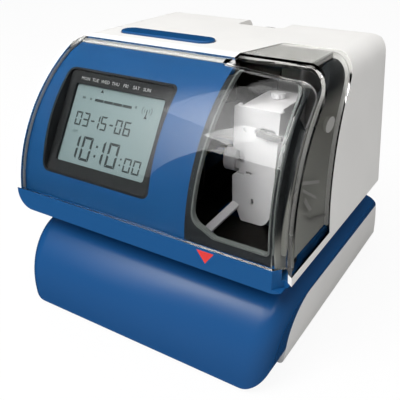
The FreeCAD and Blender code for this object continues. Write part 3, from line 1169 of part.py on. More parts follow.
def make_lever():
    """Small gap lever that slides in the slot of the shield."""
    face = FRONT_Y + SHIELD_FRONT_RUN
    y = face - 1.5
    arm = prism("xz", [(PRINT_X + 1.5, LEVER_HEIGHT - 1.3, 1), (PRINT_X + 14, LEVER_HEIGHT - 2.2, 1),
                       (PRINT_X + 14, LEVER_HEIGHT + 0.4, 1), (PRINT_X + 1.5, LEVER_HEIGHT + 1.3,
                                                               1)], y - 1, y + 1)
    pin = rod("y", PRINT_X + 3, LEVER_HEIGHT, 1.6, y, face + SHIELD_T + 0.5)
    save("gap_lever", union(arm, pin))


def make_drive():
    """Motor, toothed pulleys, belt and idler post behind the print unit."""
    y = FRONT_Y + BELT_RUN
    low, high = BELT_HEIGHT - 1, BELT_HEIGHT + BELT_WIDTH + 1
    motor = union(rod("z", PULLEY_LEFT_X, y, MOTOR_RADIUS, PLATE_FOOT, MOTOR_TOP),
                  rod("z", PULLEY_LEFT_X, y, 3.5, PLATE_FOOT, MOTOR_TOP + 2),
                  rod("z", PULLEY_LEFT_X, y, PIVOT_RADIUS, PLATE_FOOT, high + 1))
    save("carriage_motor", motor)
    post = union(rod("z", PULLEY_RIGHT_X, y, 4, PLATE_FOOT, low - 0.3),
                 rod("z", PULLEY_RIGHT_X, y, PIVOT_RADIUS, PLATE_FOOT, high + 1))
    save("idler_post", post)
    for name, x in (("motor_pulley", PULLEY_LEFT_X), ("idler_pulley", PULLEY_RIGHT_X)):
        wheel = union(rod("z", x, y, PULLEY_RADIUS, low, high),
                      rod("z", x, y, PULLEY_RADIUS + 1.3, low, low + 0.8),
                      rod("z", x, y, PULLEY_RADIUS + 1.3, high - 0.8, high))
        save(name, wheel.cut(rod("z", x, y, PIVOT_RADIUS + SHAFT_CLEARANCE, low - 1, high + 1)))
    gap = 0.1
    loop = []
    for grow, low_z, high_z in ((BELT_T, 0, BELT_WIDTH), (gap, -1, BELT_WIDTH + 1)):
        r = PULLEY_RADIUS + grow
        loop.append(slab(PULLEY_LEFT_X - r, PULLEY_RIGHT_X + r, y - r, y + r, r - 0.01, BELT_HEIGHT + low_z,
                         BELT_HEIGHT + high_z))
    save("drive_belt", loop[0].cut(loop[1]))


def make_trigger():
    """Trigger lever that a document pushes back, its bracket and switch."""
    y, z = FRONT_Y + TRIGGER_RUN, TRIGGER_HEIGHT
    half = TRIGGER_WIDTH / 2
    blade = prism("yz", [(y - 2, z + 3, 1.5), (y + 6, z + 4, 1.5), (y + 6, z + 1, 1), (y + 2, z - 1, 1),
                         (y - 3, NOSE_TIP + 1.2, 1.0), (y - 6, NOSE_TIP + 1.2, 1.0), (y - 2.6, z - 3, 1)],
                  TRIGGER_X - half, TRIGGER_X + half)
    blade = blade.cut(rod("x", y, z, PIVOT_RADIUS + SHAFT_CLEARANCE, TRIGGER_X - 10, TRIGGER_X + 10))
    save("trigger_lever", blade)
    cheeks = []
    for side in (-1, 1):
        x0, x1 = sorted((TRIGGER_X + side * (half + 0.5), TRIGGER_X + side * (half + 2)))
        cheeks.append(box(x0, x1, y - 4, y + 4, PLATE_FOOT, z + 4))
    pin = rod("x", y, z, PIVOT_RADIUS, TRIGGER_X - half - 2, TRIGGER_X + half + 2)
    save("trigger_bracket", union(*cheeks, pin))
    save("trigger_switch", box(TRIGGER_X - 5, TRIGGER_X + 5, y + 9.5, y + 15.5, PLATE_FOOT, PLATE_FOOT + 9))


def make_electronics():
    """Main board with its parts, print switch and the backup battery."""
    y = FRONT_Y + BAR_RUN - 3
    right = CHASSIS_LEFT - 1.5
    left = BOARD_LEFT
    board = [(left, PAN_TOP, 0), (right, PAN_TOP, 0), (right, BOARD_TOP, 2), (left + 4, BOARD_TOP, 2)]
    save("main_board", prism("xz", board, y, y + BOARD_T))
    back = y + BOARD_T
    low = PAN_TOP
    capacitors = [rod("y", x, low + 43, 4.5, back, back + 12) for x in (right - 20.5, right - 8.5)]
    chips = [box(left + 10, left + 28, back, back + 3, low + 17, low + 35), *capacitors,
             box(right - 24.5, right - 2.5, back, back + 6, low + 5, low + 13),
             box(left + 8, left + 16, back, back + 9, low + 43, low + 57)]
    save("board_parts", *chips)
    save("backup_battery", slab_xz(left + 45, low + 25, 26, 15, 7, back, back + 14))
    x = (BAR_LEFT + BAR_RIGHT) / 2
    save("print_switch", box(x - 6, x + 6, back, back + 6, STEM_FOOT - BAR_TRAVEL - 12,
                             STEM_FOOT - BAR_TRAVEL - 0.3))


def make_stop():
    """Document stop that slides along the table, held by a foot under it."""
    half = STOP_WIDTH / 2
    y0, y1 = STOP_Y - STOP_DEPTH / 2 + 0.5, STOP_Y + STOP_DEPTH / 2 - 0.5
    wall = slab(STOP_X - half, STOP_X + half, y0, y1, 1, BASE_TOP + 0.3, BASE_TOP + 5.5)
    stem = box(STOP_X - 1.6, STOP_X + 1.6, y0 + 0.5, y1 - 0.5, BASE_TOP - BASE_WALL - 2, BASE_TOP + 1)
    foot = box(STOP_X - 5, STOP_X + 5, y0, y1, BASE_TOP - BASE_WALL - 2.3, BASE_TOP - BASE_WALL - 0.3)
    save("document_stop", union(wall, stem, foot))


def make_screws():
    """Small screws that hold the side plates and the motor to the chassis."""
    places = [(PLATE_LEFT_X + 4, FRONT_Y + PLATE_REAR_RUN - 14),
              (PLATE_RIGHT_X - PLATE_T - 4, FRONT_Y + PLATE_REAR_RUN - 14)]
    screws = []
    for x, y in places:
        top = PLATE_FOOT + PLATE_T
        screws.append(rod("z", x, y, 2.4, top, top + 1.4))
    save("plate_screws", *screws)


os.makedirs("parts", exist_ok=True)
make_base()
make_base_cover()
make_base_fittings()
make_chassis()
make_cover()
make_push_bar()
make_lock()
make_pan()
make_display()
make_window_frame()
make_side_plates()
make_carriage()
make_drive()
make_trigger()
make_electronics()
make_stop()
make_screws()
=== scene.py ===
import math

import bmesh
import bpy
import numpy as np
from mathutils import Euler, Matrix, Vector


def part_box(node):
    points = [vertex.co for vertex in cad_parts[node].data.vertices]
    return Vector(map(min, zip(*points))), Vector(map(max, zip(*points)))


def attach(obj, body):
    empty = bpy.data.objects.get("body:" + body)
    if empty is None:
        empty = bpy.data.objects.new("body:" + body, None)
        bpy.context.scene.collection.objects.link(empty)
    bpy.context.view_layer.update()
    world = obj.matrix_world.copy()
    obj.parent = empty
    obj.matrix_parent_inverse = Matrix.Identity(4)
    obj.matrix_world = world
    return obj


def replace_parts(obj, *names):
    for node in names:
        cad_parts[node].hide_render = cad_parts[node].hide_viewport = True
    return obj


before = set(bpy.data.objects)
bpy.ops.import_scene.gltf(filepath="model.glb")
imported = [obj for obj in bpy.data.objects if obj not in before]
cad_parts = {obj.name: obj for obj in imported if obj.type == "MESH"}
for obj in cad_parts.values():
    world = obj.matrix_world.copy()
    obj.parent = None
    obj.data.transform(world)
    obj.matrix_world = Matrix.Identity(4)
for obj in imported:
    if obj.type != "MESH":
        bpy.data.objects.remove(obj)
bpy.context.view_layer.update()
scene = bpy.context.scene


# The studio.
# A pale table under a white surround. The table takes the machine's shadow, and the surround shows white to
# the camera and in gloss, while it lights the machine as a plain, even sky.

FLOOR_HALF = 3.0
FLOOR_COLOUR = (0.80, 0.80, 0.80, 1.0)
FLOOR_WHITE = 0.92                # share of the table that shows as the white background
SKY_LEVEL = 0.54


def shader_nodes(material):
    """The material's node tree with nothing but its output left in it."""
    material.use_nodes = True
    tree = material.node_tree
    for node in list(tree.nodes):
        if node.type != "OUTPUT_MATERIAL":
            tree.nodes.remove(node)
    return tree, tree.nodes["Material Output"]


def joined(tree, operation, first, second):
    """A math node on two values. A value is a socket or a plain number."""
    node = tree.nodes.new("ShaderNodeMath")
    node.operation = operation
    for socket, value in zip(node.inputs, (first, second)):
        if isinstance(value, (int, float)):
            socket.default_value = value
        else:
            tree.links.new(value, socket)
    return node.outputs[0]


def sees_background(tree):
    """One for camera and glossy rays and rays straight through glass, zero for those that light things."""
    path = tree.nodes.new("ShaderNodeLightPath").outputs
    scattered = joined(tree, "MINIMUM", path["Diffuse Depth"], 1.0)
    straight = joined(tree, "SUBTRACT", path["Is Transmission Ray"], scattered)
    seen = joined(tree, "MAXIMUM", path["Is Camera Ray"], path["Is Glossy Ray"])
    return joined(tree, "MAXIMUM", seen, straight)


def make_floor():
    mesh = bpy.data.meshes.new("table_top")
    corners = [(-FLOOR_HALF, -FLOOR_HALF, 0), (FLOOR_HALF, -FLOOR_HALF, 0),
               (FLOOR_HALF, FLOOR_HALF, 0), (-FLOOR_HALF, FLOOR_HALF, 0)]
    mesh.from_pydata(corners, [], [(0, 1, 2, 3)])
    floor = bpy.data.objects.new("table_top", mesh)
    scene.collection.objects.link(floor)
    material = bpy.data.materials.new("pale_table")
    tree, output = shader_nodes(material)
    matt = tree.nodes.new("ShaderNodeBsdfDiffuse")
    matt.inputs["Color"].default_value = FLOOR_COLOUR
    white = tree.nodes.new("ShaderNodeEmission")
    mix = tree.nodes.new("ShaderNodeMixShader")
    tree.links.new(joined(tree, "MULTIPLY", sees_background(tree), FLOOR_WHITE), mix.inputs[0])
    tree.links.new(matt.outputs[0], mix.inputs[1])
    tree.links.new(white.outputs[0], mix.inputs[2])
    tree.links.new(mix.outputs[0], output.inputs["Surface"])
    mesh.materials.append(material)


def make_sky():
    world = bpy.data.worlds.new("white_surround")
    world.use_nodes = True
    scene.world = world
    tree = world.node_tree
    background = tree.nodes["Background"]
    background.inputs["Color"].default_value = (1, 1, 1, 1)
    level = tree.nodes.new("ShaderNodeMapRange")
    level.inputs["To Min"].default_value = SKY_LEVEL
    level.inputs["To Max"].default_value = 1.0
    tree.links.new(sees_background(tree), level.inputs["Value"])
    tree.links.new(level.outputs["Result"], background.inputs["Strength"])


make_floor()
make_sky()


# The lamps.
# One broad overhead lamp for soft shadows, a front lamp that fills the front, and a tall softbox at the front
# left. Only the softbox shows in gloss: it is the bright field beside the display on the clear lens, with a
# straight right edge, and its cloth is dimmer towards its left foot.

MACHINE_CENTRE = Vector((0.0, 0.0, 0.08))
OVERHEAD = {"azimuth": -14, "elevation": 64, "distance": 1.3}
OVERHEAD_SIZE, OVERHEAD_POWER = 1.2, 12.0
FRONT = {"azimuth": -22, "elevation": 44, "distance": 1.3}
FRONT_SIZE, FRONT_POWER = 0.5, 8.5
SOFTBOX = {"azimuth": -42.5, "elevation": 0, "distance": 1.0}
SOFTBOX_LEFT, SOFTBOX_RIGHT = -0.95, 0.202
SOFTBOX_FOOT, SOFTBOX_TOP = 0.10, 3.0
SOFTBOX_SLANT = (1.0, 0.45, 0.0)          # the way across the cloth along which it brightens
SOFTBOX_DARK, SOFTBOX_FULL = 0.12, 0.60   # where along it the light begins, and where it is full
SOFTBOX_FULL_HIGH = 1.0
SOFTBOX_LEVEL = 3.0


def face_machine(thing, azimuth, elevation, distance):
    """Sets a lamp on a sphere round the machine, facing it. Azimuth 0 is in front, and 90 on the right."""
    side, lift = math.radians(azimuth), math.radians(elevation)
    back = Vector((math.sin(side) * math.cos(lift), -math.cos(side) * math.cos(lift), math.sin(lift)))
    thing.location = MACHINE_CENTRE + back * distance
    thing.rotation_mode = "QUATERNION"
    thing.rotation_quaternion = (-back).to_track_quat("-Z", "Y")
    scene.collection.objects.link(thing)


def square_lamp(name, size, power, place):
    """A soft lamp that lights the machine and leaves no mirror image of itself in it."""
    lamp_data = bpy.data.lights.new(name, "AREA")
    lamp_data.size = size
    lamp_data.energy = power
    lamp = bpy.data.objects.new(name, lamp_data)
    lamp.visible_glossy = False
    face_machine(lamp, **place)


square_lamp("overhead_lamp", OVERHEAD_SIZE, OVERHEAD_POWER, OVERHEAD)
square_lamp("front_lamp", FRONT_SIZE, FRONT_POWER, FRONT)


def fade(tree, value, dark, full):
    """Rises smoothly from zero at one place to one at another."""
    node = tree.nodes.new("ShaderNodeMapRange")
    node.interpolation_type = "SMOOTHSTEP"
    node.inputs["From Min"].default_value = dark
    node.inputs["From Max"].default_value = full
    tree.links.new(value, node.inputs["Value"])
    return node.outputs["Result"]


def make_softbox():
    """A lit cloth on a standing frame: its level falls off towards its left foot and at its top."""
    mesh = bpy.data.meshes.new("softbox_cloth")
    mesh.from_pydata([(SOFTBOX_LEFT, SOFTBOX_FOOT, 0), (SOFTBOX_RIGHT, SOFTBOX_FOOT, 0),
                      (SOFTBOX_RIGHT, SOFTBOX_TOP, 0), (SOFTBOX_LEFT, SOFTBOX_TOP, 0)], [], [(3, 2, 1, 0)])
    material = bpy.data.materials.new("lit_cloth")
    tree, output = shader_nodes(material)
    place = tree.nodes.new("ShaderNodeTexCoord")
    split = tree.nodes.new("ShaderNodeSeparateXYZ")
    tree.links.new(place.outputs["Object"], split.inputs[0])
    slant = tree.nodes.new("ShaderNodeVectorMath")
    slant.operation = "DOT_PRODUCT"
    slant.inputs[1].default_value = SOFTBOX_SLANT
    tree.links.new(place.outputs["Object"], slant.inputs[0])
    cloth_share = joined(tree, "MULTIPLY", fade(tree, slant.outputs["Value"], SOFTBOX_DARK, SOFTBOX_FULL),
                         fade(tree, split.outputs["Y"], SOFTBOX_TOP, SOFTBOX_FULL_HIGH))
    level = joined(tree, "MULTIPLY", cloth_share, SOFTBOX_LEVEL)
    glow = tree.nodes.new("ShaderNodeEmission")
    tree.links.new(level, glow.inputs["Strength"])
    tree.links.new(glow.outputs[0], output.inputs["Surface"])
    mesh.materials.append(material)
    cloth = bpy.data.objects.new("softbox_cloth", mesh)
    cloth.visible_camera = False
    face_machine(cloth, **SOFTBOX)


make_softbox()


# The black cards.
# Matt black cards round the machine, as a product studio sets them up: one on the table, one bent round the
# back, and a lower one across the front. Only mirror images see them, so they keep the white surround out of
# the lens, the smoked side and the polished blue.

CARD_STEPS = 32
BACK_CARD = {"start": -295, "end": -32, "radius": 1.45, "foot": 0.0, "top": 3.2}
FRONT_CARD = {"start": -34, "end": 66, "radius": 1.35, "foot": 0.0, "top": 1.40}
TABLE_CARD_HALF, TABLE_CARD_LIFT = 1.6, 0.0006


def black_card(name, corners, faces):
    """A card that is black to rays that have met a gloss, and isn't there for any others."""
    mesh = bpy.data.meshes.new(name)
    mesh.from_pydata(corners, [], faces)
    material = bpy.data.materials.new(name)
    tree, output = shader_nodes(material)
    path = tree.nodes.new("ShaderNodeLightPath").outputs
    clear = tree.nodes.new("ShaderNodeBsdfTransparent")
    black = tree.nodes.new("ShaderNodeEmission")
    black.inputs["Strength"].default_value = 0.0
    mix = tree.nodes.new("ShaderNodeMixShader")
    tree.links.new(joined(tree, "MINIMUM", path["Glossy Depth"], 1.0), mix.inputs[0])
    tree.links.new(clear.outputs[0], mix.inputs[1])
    tree.links.new(black.outputs[0], mix.inputs[2])
    tree.links.new(mix.outputs[0], output.inputs["Surface"])
    mesh.materials.append(material)
    card = bpy.data.objects.new(name, mesh)
    scene.collection.objects.link(card)
    card.visible_camera = False
    card.visible_diffuse = False
    card.visible_shadow = False


def bent_card(name, start, end, radius, foot, top):
    """An upright card bent round the machine: two rows of points on an arc of that radius, foot and top."""
    turn = np.radians(np.linspace(start, end, CARD_STEPS))
    arc = np.stack([radius * np.sin(turn), -radius * np.cos(turn)], axis=1)
    rows = np.concatenate([np.column_stack([arc, np.full(CARD_STEPS, height)]) for height in (foot, top)])
    faces = [(i, i + 1, CARD_STEPS + i + 1, CARD_STEPS + i) for i in range(CARD_STEPS - 1)]
    black_card(name, rows.tolist(), faces)


bent_card("back_card", **BACK_CARD)
bent_card("front_card", **FRONT_CARD)
black_card("table_card", [(-TABLE_CARD_HALF, -TABLE_CARD_HALF, TABLE_CARD_LIFT),
                          (TABLE_CARD_HALF, -TABLE_CARD_HALF, TABLE_CARD_LIFT),
                          (TABLE_CARD_HALF, TABLE_CARD_HALF, TABLE_CARD_LIFT),
                          (-TABLE_CARD_HALF, TABLE_CARD_HALF, TABLE_CARD_LIFT)], [(0, 1, 2, 3)])


# The camera.
# It stands to the right of the operator and looks down on the front right corner.

CAMERA_PLACE = (0.1518, -0.2635, 0.2026)
CAMERA_YAW, CAMERA_PITCH, CAMERA_ROLL = 31.88, 27.30, 0.05
CAMERA_LENS = 51.72

camera_data = bpy.data.cameras.new("camera")
camera_data.lens = CAMERA_LENS
camera_data.clip_start = 0.01
camera = bpy.data.objects.new("camera", camera_data)
camera.location = CAMERA_PLACE
camera.rotation_euler = Euler((math.radians(90 - CAMERA_PITCH), 0, math.radians(CAMERA_YAW)))
camera.rotation_euler.rotate_axis("Z", math.radians(CAMERA_ROLL))
scene.collection.objects.link(camera)
scene.camera = camera
scene.view_settings.view_transform = "Standard"


# The base case and the upper case.
# Warm white ABS, injection moulded with a fine spark-eroded grain. The base case carries everything, and the
# upper case lifts off straight up to change the ribbon.

CASE_WHITE = (0.80, 0.79, 0.77)
GRAIN_HEIGHT = 0.0004
CLOUDS_PER_METRE = 45.0


def surface(name, colour, roughness, metallic=0.0, gloss=0.5):
    """A Principled material: itself, its tree and its shader."""
    material = bpy.data.materials.new(name)
    tree, output = shader_nodes(material)
    shader = tree.nodes.new("ShaderNodeBsdfPrincipled")
    shader.inputs["Base Color"].default_value = (*colour, 1)
    shader.inputs["Roughness"].default_value = roughness
    shader.inputs["Metallic"].default_value = metallic
    shader.inputs["Specular IOR Level"].default_value = gloss
    tree.links.new(shader.outputs[0], output.inputs["Surface"])
    return material, tree, shader


def group_sockets(name, inputs, outputs):
    """An empty node group with these sockets: its tree, its input node and its output node."""
    group = bpy.data.node_groups.new(name, "ShaderNodeTree")
    for label, kind, value in inputs:
        socket = group.interface.new_socket(label, in_out="INPUT", socket_type=kind)
        socket.default_value = value
    for label, kind in outputs:
        group.interface.new_socket(label, in_out="OUTPUT", socket_type=kind)
    return group, group.nodes.new("NodeGroupInput"), group.nodes.new("NodeGroupOutput")


def shifted_finish(group, given, result, noise, share):
    """Puts out the given colour and roughness, shifted up and down with a noise by the given share."""
    centred = group.nodes.new("ShaderNodeMapRange")
    centred.inputs["To Min"].default_value = -1.0
    group.links.new(noise.outputs["Fac"], centred.inputs["Value"])
    shift = joined(group, "MULTIPLY", centred.outputs["Result"], share)
    tint = group.nodes.new("ShaderNodeHueSaturation")
    group.links.new(given.outputs["Colour"], tint.inputs["Color"])
    group.links.new(joined(group, "ADD", shift, 1.0), tint.inputs["Value"])
    group.links.new(tint.outputs["Color"], result.inputs["Colour"])
    group.links.new(joined(group, "ADD", shift, given.outputs["Roughness"]), result.inputs["Roughness"])


def moulded_grain_group():
    """Mould texture: fine noise gives the normal, and slow clouds shift the colour and the roughness."""
    group, given, result = group_sockets(
        "moulded_grain",
        [("Colour", "NodeSocketColor", (0.5, 0.5, 0.5, 1)), ("Roughness", "NodeSocketFloat", 0.4),
         ("Grain per metre", "NodeSocketFloat", 2500.0), ("Depth", "NodeSocketFloat", 0.02),
         ("Cloud", "NodeSocketFloat", 0.03)],
        [("Colour", "NodeSocketColor"), ("Roughness", "NodeSocketFloat"), ("Normal", "NodeSocketVector")])
    link = group.links.new
    place = group.nodes.new("ShaderNodeTexCoord")
    grain = group.nodes.new("ShaderNodeTexNoise")
    grain.inputs["Detail"].default_value = 1.0
    link(place.outputs["Object"], grain.inputs["Vector"])
    link(given.outputs["Grain per metre"], grain.inputs["Scale"])
    clouds = group.nodes.new("ShaderNodeTexNoise")
    clouds.inputs["Scale"].default_value = CLOUDS_PER_METRE
    clouds.inputs["Detail"].default_value = 3.0
    link(place.outputs["Object"], clouds.inputs["Vector"])
    bump = group.nodes.new("ShaderNodeBump")
    bump.inputs["Distance"].default_value = GRAIN_HEIGHT
    link(grain.outputs["Fac"], bump.inputs["Height"])
    link(given.outputs["Depth"], bump.inputs["Strength"])
    link(bump.outputs["Normal"], result.inputs["Normal"])
    shifted_finish(group, given, result, clouds, given.outputs["Cloud"])
    return group


moulded_grain = moulded_grain_group()


def finished(tree, shader, group, values):
    """Places a finish group in a material with its own values, and feeds the shader from it."""
    finish = tree.nodes.new("ShaderNodeGroup")
    finish.node_tree = group
    for label, value in values.items():
        finish.inputs[label].default_value = value
    for output, socket in (("Colour", "Base Color"), ("Roughness", "Roughness"), ("Normal", "Normal")):
        tree.links.new(finish.outputs[output], shader.inputs[socket])


def moulded(name, colour, roughness, gloss=0.5, grain=2500.0, depth=0.05, cloud=0.03):
    """Injection-moulded plastic with a mould grain of its own."""
    material, tree, shader = surface(name, colour, roughness, gloss=gloss)
    finished(tree, shader, moulded_grain, {"Colour": (*colour, 1), "Roughness": roughness,
                                           "Grain per metre": grain, "Depth": depth, "Cloud": cloud})
    return material


def dress(material, *names):
    """Gives CAD nodes their finish."""
    for name in names:
        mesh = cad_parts[name].data
        mesh.materials.clear()
        mesh.materials.append(material)


dress(moulded("warm_white_case", CASE_WHITE, 0.42), "base_case", "upper_case")


# The feet and the platen.
# Moulded black rubber, pressed into the base case and into the platen holder.

RUBBER_BLACK = (0.022, 0.022, 0.023)

dress(moulded("black_rubber", RUBBER_BLACK, 0.78, grain=900.0, depth=0.25, cloud=0.08),
      "rubber_feet", "platen_rubber")


# The base cover, the lip, the front panel and the push bar.
# Blue ABS moulded with a polished skin, so it mirrors the room softly. The base cover is glossier, and its
# blue is a little darker as painted shade; it is screwed to the base case from below. The front panel, under
# the clear cover, is duller, and its blue is lighter as painted light that makes up for what the smoked cover
# holds back.

BLUE = (0.009, 0.074, 0.215)
# Painted shade: the base cover's blue is a little darker than the others; painted light: the front panel's is
# lighter.
SHADED_BASE_BLUE = (0.008, 0.068, 0.208)
LIT_PANEL_BLUE = (0.012, 0.092, 0.262)

polished_blue = moulded("polished_blue", BLUE, 0.20, gloss=0.55, grain=1800.0, depth=0.012, cloud=0.02)
dress(polished_blue, "head_pan", "push_bar")
dress(moulded("shaded_base_blue", SHADED_BASE_BLUE, 0.25, gloss=1.0, grain=1800.0, depth=0.012, cloud=0.02), "base_cover")
dress(moulded("lit_panel_blue", LIT_PANEL_BLUE, 0.36, gloss=0.3, grain=2200.0, depth=0.03), "front_panel")


# The dark mouldings.
# Charcoal ABS: the neck, the inlet, the key collars, the trigger lever and the document stop.

CHARCOAL = (0.024, 0.027, 0.030)
NECK_BLACK = (0.012, 0.014, 0.018)

dress(moulded("charcoal_case", CHARCOAL, 0.5, gloss=0.35, grain=1500.0, depth=0.06),
      "key_collars", "mains_inlet", "trigger_lever", "document_stop")
dress(moulded("neck_black", NECK_BLACK, 0.5, gloss=0.3, grain=1500.0, depth=0.06), "neck_shroud")


# The window frame and its bead.
# Charcoal ABS round the print window. Its side wall, which shows through the clear side of the cover, carries
# a grey film that is lighter low down and darker higher up: that fall is painted light and shade. A lighter
# bead runs round the opening.

# Painted light and shade: the film's grey is lighter low down and darker higher up.
FILM_LIT_LOW, FILM_SHADED_HIGH = (0.46, 0.46, 0.43, 1.0), (0.27, 0.265, 0.24, 1.0)
FILM_FOOT, FILM_HEAD = 0.075, 0.125       # the film darkens from one height to the other
FILM_START, FILM_END = 0.0695, 0.0705     # the film covers the frame to the right of this place
BEAD_GREY = (0.15, 0.165, 0.16)


def frame_plastic():
    """Charcoal with the film's grey over its right wall, by a mask on the place from left to right. The grey
    is lighter low down and darker higher up, painted light and shade, by a mask on the height.
    """
    material = moulded("frame_charcoal", CHARCOAL, 0.5, gloss=0.25, grain=1500.0, depth=0.03)
    tree = material.node_tree
    shader = tree.nodes["Principled BSDF"]
    finish = tree.nodes["Group"]
    place = tree.nodes.new("ShaderNodeTexCoord")
    split = tree.nodes.new("ShaderNodeSeparateXYZ")
    tree.links.new(place.outputs["Object"], split.inputs[0])
    # Painted light and shade: the film's grey goes from lighter low down to darker higher up.
    painted_light_and_shade = tree.nodes.new("ShaderNodeMix")
    painted_light_and_shade.data_type = "RGBA"
    tree.links.new(fade(tree, split.outputs["Z"], FILM_FOOT, FILM_HEAD), painted_light_and_shade.inputs["Factor"])
    painted_light_and_shade.inputs["A"].default_value = FILM_LIT_LOW
    painted_light_and_shade.inputs["B"].default_value = FILM_SHADED_HIGH
    film = tree.nodes.new("ShaderNodeMix")
    film.data_type = "RGBA"
    tree.links.new(fade(tree, split.outputs["X"], FILM_START, FILM_END), film.inputs["Factor"])
    tree.links.new(finish.outputs["Colour"], film.inputs["A"])
    tree.links.new(painted_light_and_shade.outputs["Result"], film.inputs["B"])
    tree.links.new(film.outputs["Result"], shader.inputs["Base Color"])
    return material


dress(frame_plastic(), "window_frame")
dress(moulded("bead_grey", BEAD_GREY, 0.4, gloss=0.3, grain=3000.0, depth=0.02), "window_bead")


# The print unit's mouldings.
# White acetal for the shield, the ribbon cassette and its knob, and one a shade greyer and duller for the
# carriage with its finger, the cassette lid and the ribbon guides.

UNIT_WHITE = (0.87, 0.86, 0.88)
UNIT_GREY = (0.86, 0.84, 0.86)

dress(moulded("unit_white", UNIT_WHITE, 0.38, gloss=0.35, grain=3000.0, depth=0.02, cloud=0.02),
      "head_shield", "ribbon_cassette", "take_up_knob")
dress(moulded("unit_grey", UNIT_GREY, 0.45, gloss=0.35, grain=3000.0, depth=0.03),
      "carriage", "guide_finger", "cassette_lid", "ribbon_guides")


# The steelwork.
# Sheet steel, folded and punched. The chassis, the side plates and the trigger's bracket are near black, as
# painted shade for the dark inside behind the window. The platen holder, the screws and the lock's cam are
# zinc plated.

# Painted shade: the near black of the chassis, side plates and bracket stands for the dark inside behind the
# window.
SHADE_BLACK_STEEL = (0.035, 0.033, 0.030)
ZINC = (0.55, 0.56, 0.57)
ALONG_THE_SHEET = (40.0, 900.0, 900.0)    # marks for each metre along the three axes
MARK_HEIGHT = 0.0002


def rolled_sheet_group():
    """Rolling marks: noise stretched along one axis shifts roughness and colour, and lifts the normal."""
    group, given, result = group_sockets(
        "rolled_sheet",
        [("Colour", "NodeSocketColor", (0.6, 0.6, 0.6, 1)), ("Roughness", "NodeSocketFloat", 0.35),
         ("Stretch", "NodeSocketVector", ALONG_THE_SHEET), ("Spread", "NodeSocketFloat", 0.12)],
        [("Colour", "NodeSocketColor"), ("Roughness", "NodeSocketFloat"), ("Normal", "NodeSocketVector")])
    link = group.links.new
    place = group.nodes.new("ShaderNodeTexCoord")
    stretched = group.nodes.new("ShaderNodeVectorMath")
    stretched.operation = "MULTIPLY"
    link(place.outputs["Object"], stretched.inputs[0])
    link(given.outputs["Stretch"], stretched.inputs[1])
    marks = group.nodes.new("ShaderNodeTexNoise")
    marks.inputs["Scale"].default_value = 1.0
    marks.inputs["Detail"].default_value = 2.0
    link(stretched.outputs["Vector"], marks.inputs["Vector"])
    bump = group.nodes.new("ShaderNodeBump")
    bump.inputs["Distance"].default_value = MARK_HEIGHT
    bump.inputs["Strength"].default_value = 0.05
    link(marks.outputs["Fac"], bump.inputs["Height"])
    link(bump.outputs["Normal"], result.inputs["Normal"])
    shifted_finish(group, given, result, marks, given.outputs["Spread"])
    return group


rolled_sheet = rolled_sheet_group()


def metal(name, colour, roughness, stretch=ALONG_THE_SHEET, spread=0.12):
    """Bare or plated metal with rolling or turning marks along one axis."""
    material, tree, shader = surface(name, colour, roughness, metallic=1.0)
    finished(tree, shader, rolled_sheet, {"Colour": (*colour, 1), "Roughness": roughness,
                                          "Stretch": stretch, "Spread": spread})
    return material


dress(metal("shade_black_plate", SHADE_BLACK_STEEL, 0.55), "chassis_frame", "side_plate_left", "side_plate_right",
      "trigger_bracket")
dress(metal("zinc_plate", ZINC, 0.42), "base_screws", "platen_holder", "lock_cam")


# Shafts, screws and springs.
# Ground and polished steel bar, and bright spring wire.

BRIGHT_STEEL = (0.62, 0.62, 0.63)

dress(metal("ground_shaft", BRIGHT_STEEL, 0.2, stretch=(900.0, 60.0, 60.0), spread=0.06),
      "guide_shaft_front", "guide_shaft_rear", "idler_post", "plate_screws", "push_bar_springs")


# The print head and the belt pulleys.
# Die-cast and turned aluminium alloy.

HEAD_ALLOY = (0.50, 0.50, 0.52)

dress(metal("head_alloy", HEAD_ALLOY, 0.45, stretch=(500.0, 500.0, 500.0), spread=0.08),
      "print_head", "motor_pulley", "idler_pulley")


# The transformer and the carriage motor.
# A stack of varnished steel laminations with a taped winding, and a small can motor of drawn steel.

VARNISHED_STEEL = (0.20, 0.19, 0.18)
COIL_TAPE = (0.55, 0.35, 0.05)

dress(metal("laminated_core", VARNISHED_STEEL, 0.55, stretch=(30.0, 2600.0, 30.0), spread=0.3),
      "transformer_core", "carriage_motor")
dress(moulded("coil_tape", COIL_TAPE, 0.4, grain=700.0, depth=0.2, cloud=0.06), "transformer_coil")


# Circuit boards, their parts and the battery.
# Green solder mask over glass laminate, black epoxy packages, and a battery in a shrunk sleeve.

MASK_GREEN = (0.010, 0.090, 0.040)
EPOXY_BLACK = (0.02, 0.02, 0.021)
SLEEVE_BLUE = (0.05, 0.20, 0.42)

dress(moulded("solder_mask", MASK_GREEN, 0.3, grain=350.0, depth=0.3, cloud=0.15),
      "display_board", "key_board", "main_board")
dress(moulded("black_epoxy", EPOXY_BLACK, 0.5, grain=2600.0, depth=0.12, cloud=0.05),
      "trigger_switch", "board_parts", "print_switch", "gap_lever")
dress(moulded("battery_sleeve", SLEEVE_BLUE, 0.3, grain=600.0, depth=0.1), "backup_battery")


# The drive belt and the ink ribbon.
# A toothed rubber belt, and a woven nylon ribbon soaked in black ink.

BELT_BLACK = (0.03, 0.03, 0.03)
INK_BLACK = (0.012, 0.010, 0.022)

dress(moulded("belt_rubber", BELT_BLACK, 0.65, grain=1600.0, depth=0.3, cloud=0.1), "drive_belt")
dress(moulded("ink_cloth", INK_BLACK, 0.85, grain=4200.0, depth=0.6, cloud=0.1), "ink_ribbon")


# The lock.
# A nickel-plated brass barrel with a turning plug.

WARM_NICKEL = (0.72, 0.66, 0.52)

dress(metal("plated_brass", WARM_NICKEL, 0.25, stretch=(300.0, 300.0, 40.0), spread=0.08),
      "lock_barrel", "lock_plug")


# The setting keys.
# Grey moulded caps under the upper case.

KEY_GREY = (0.34, 0.35, 0.36)

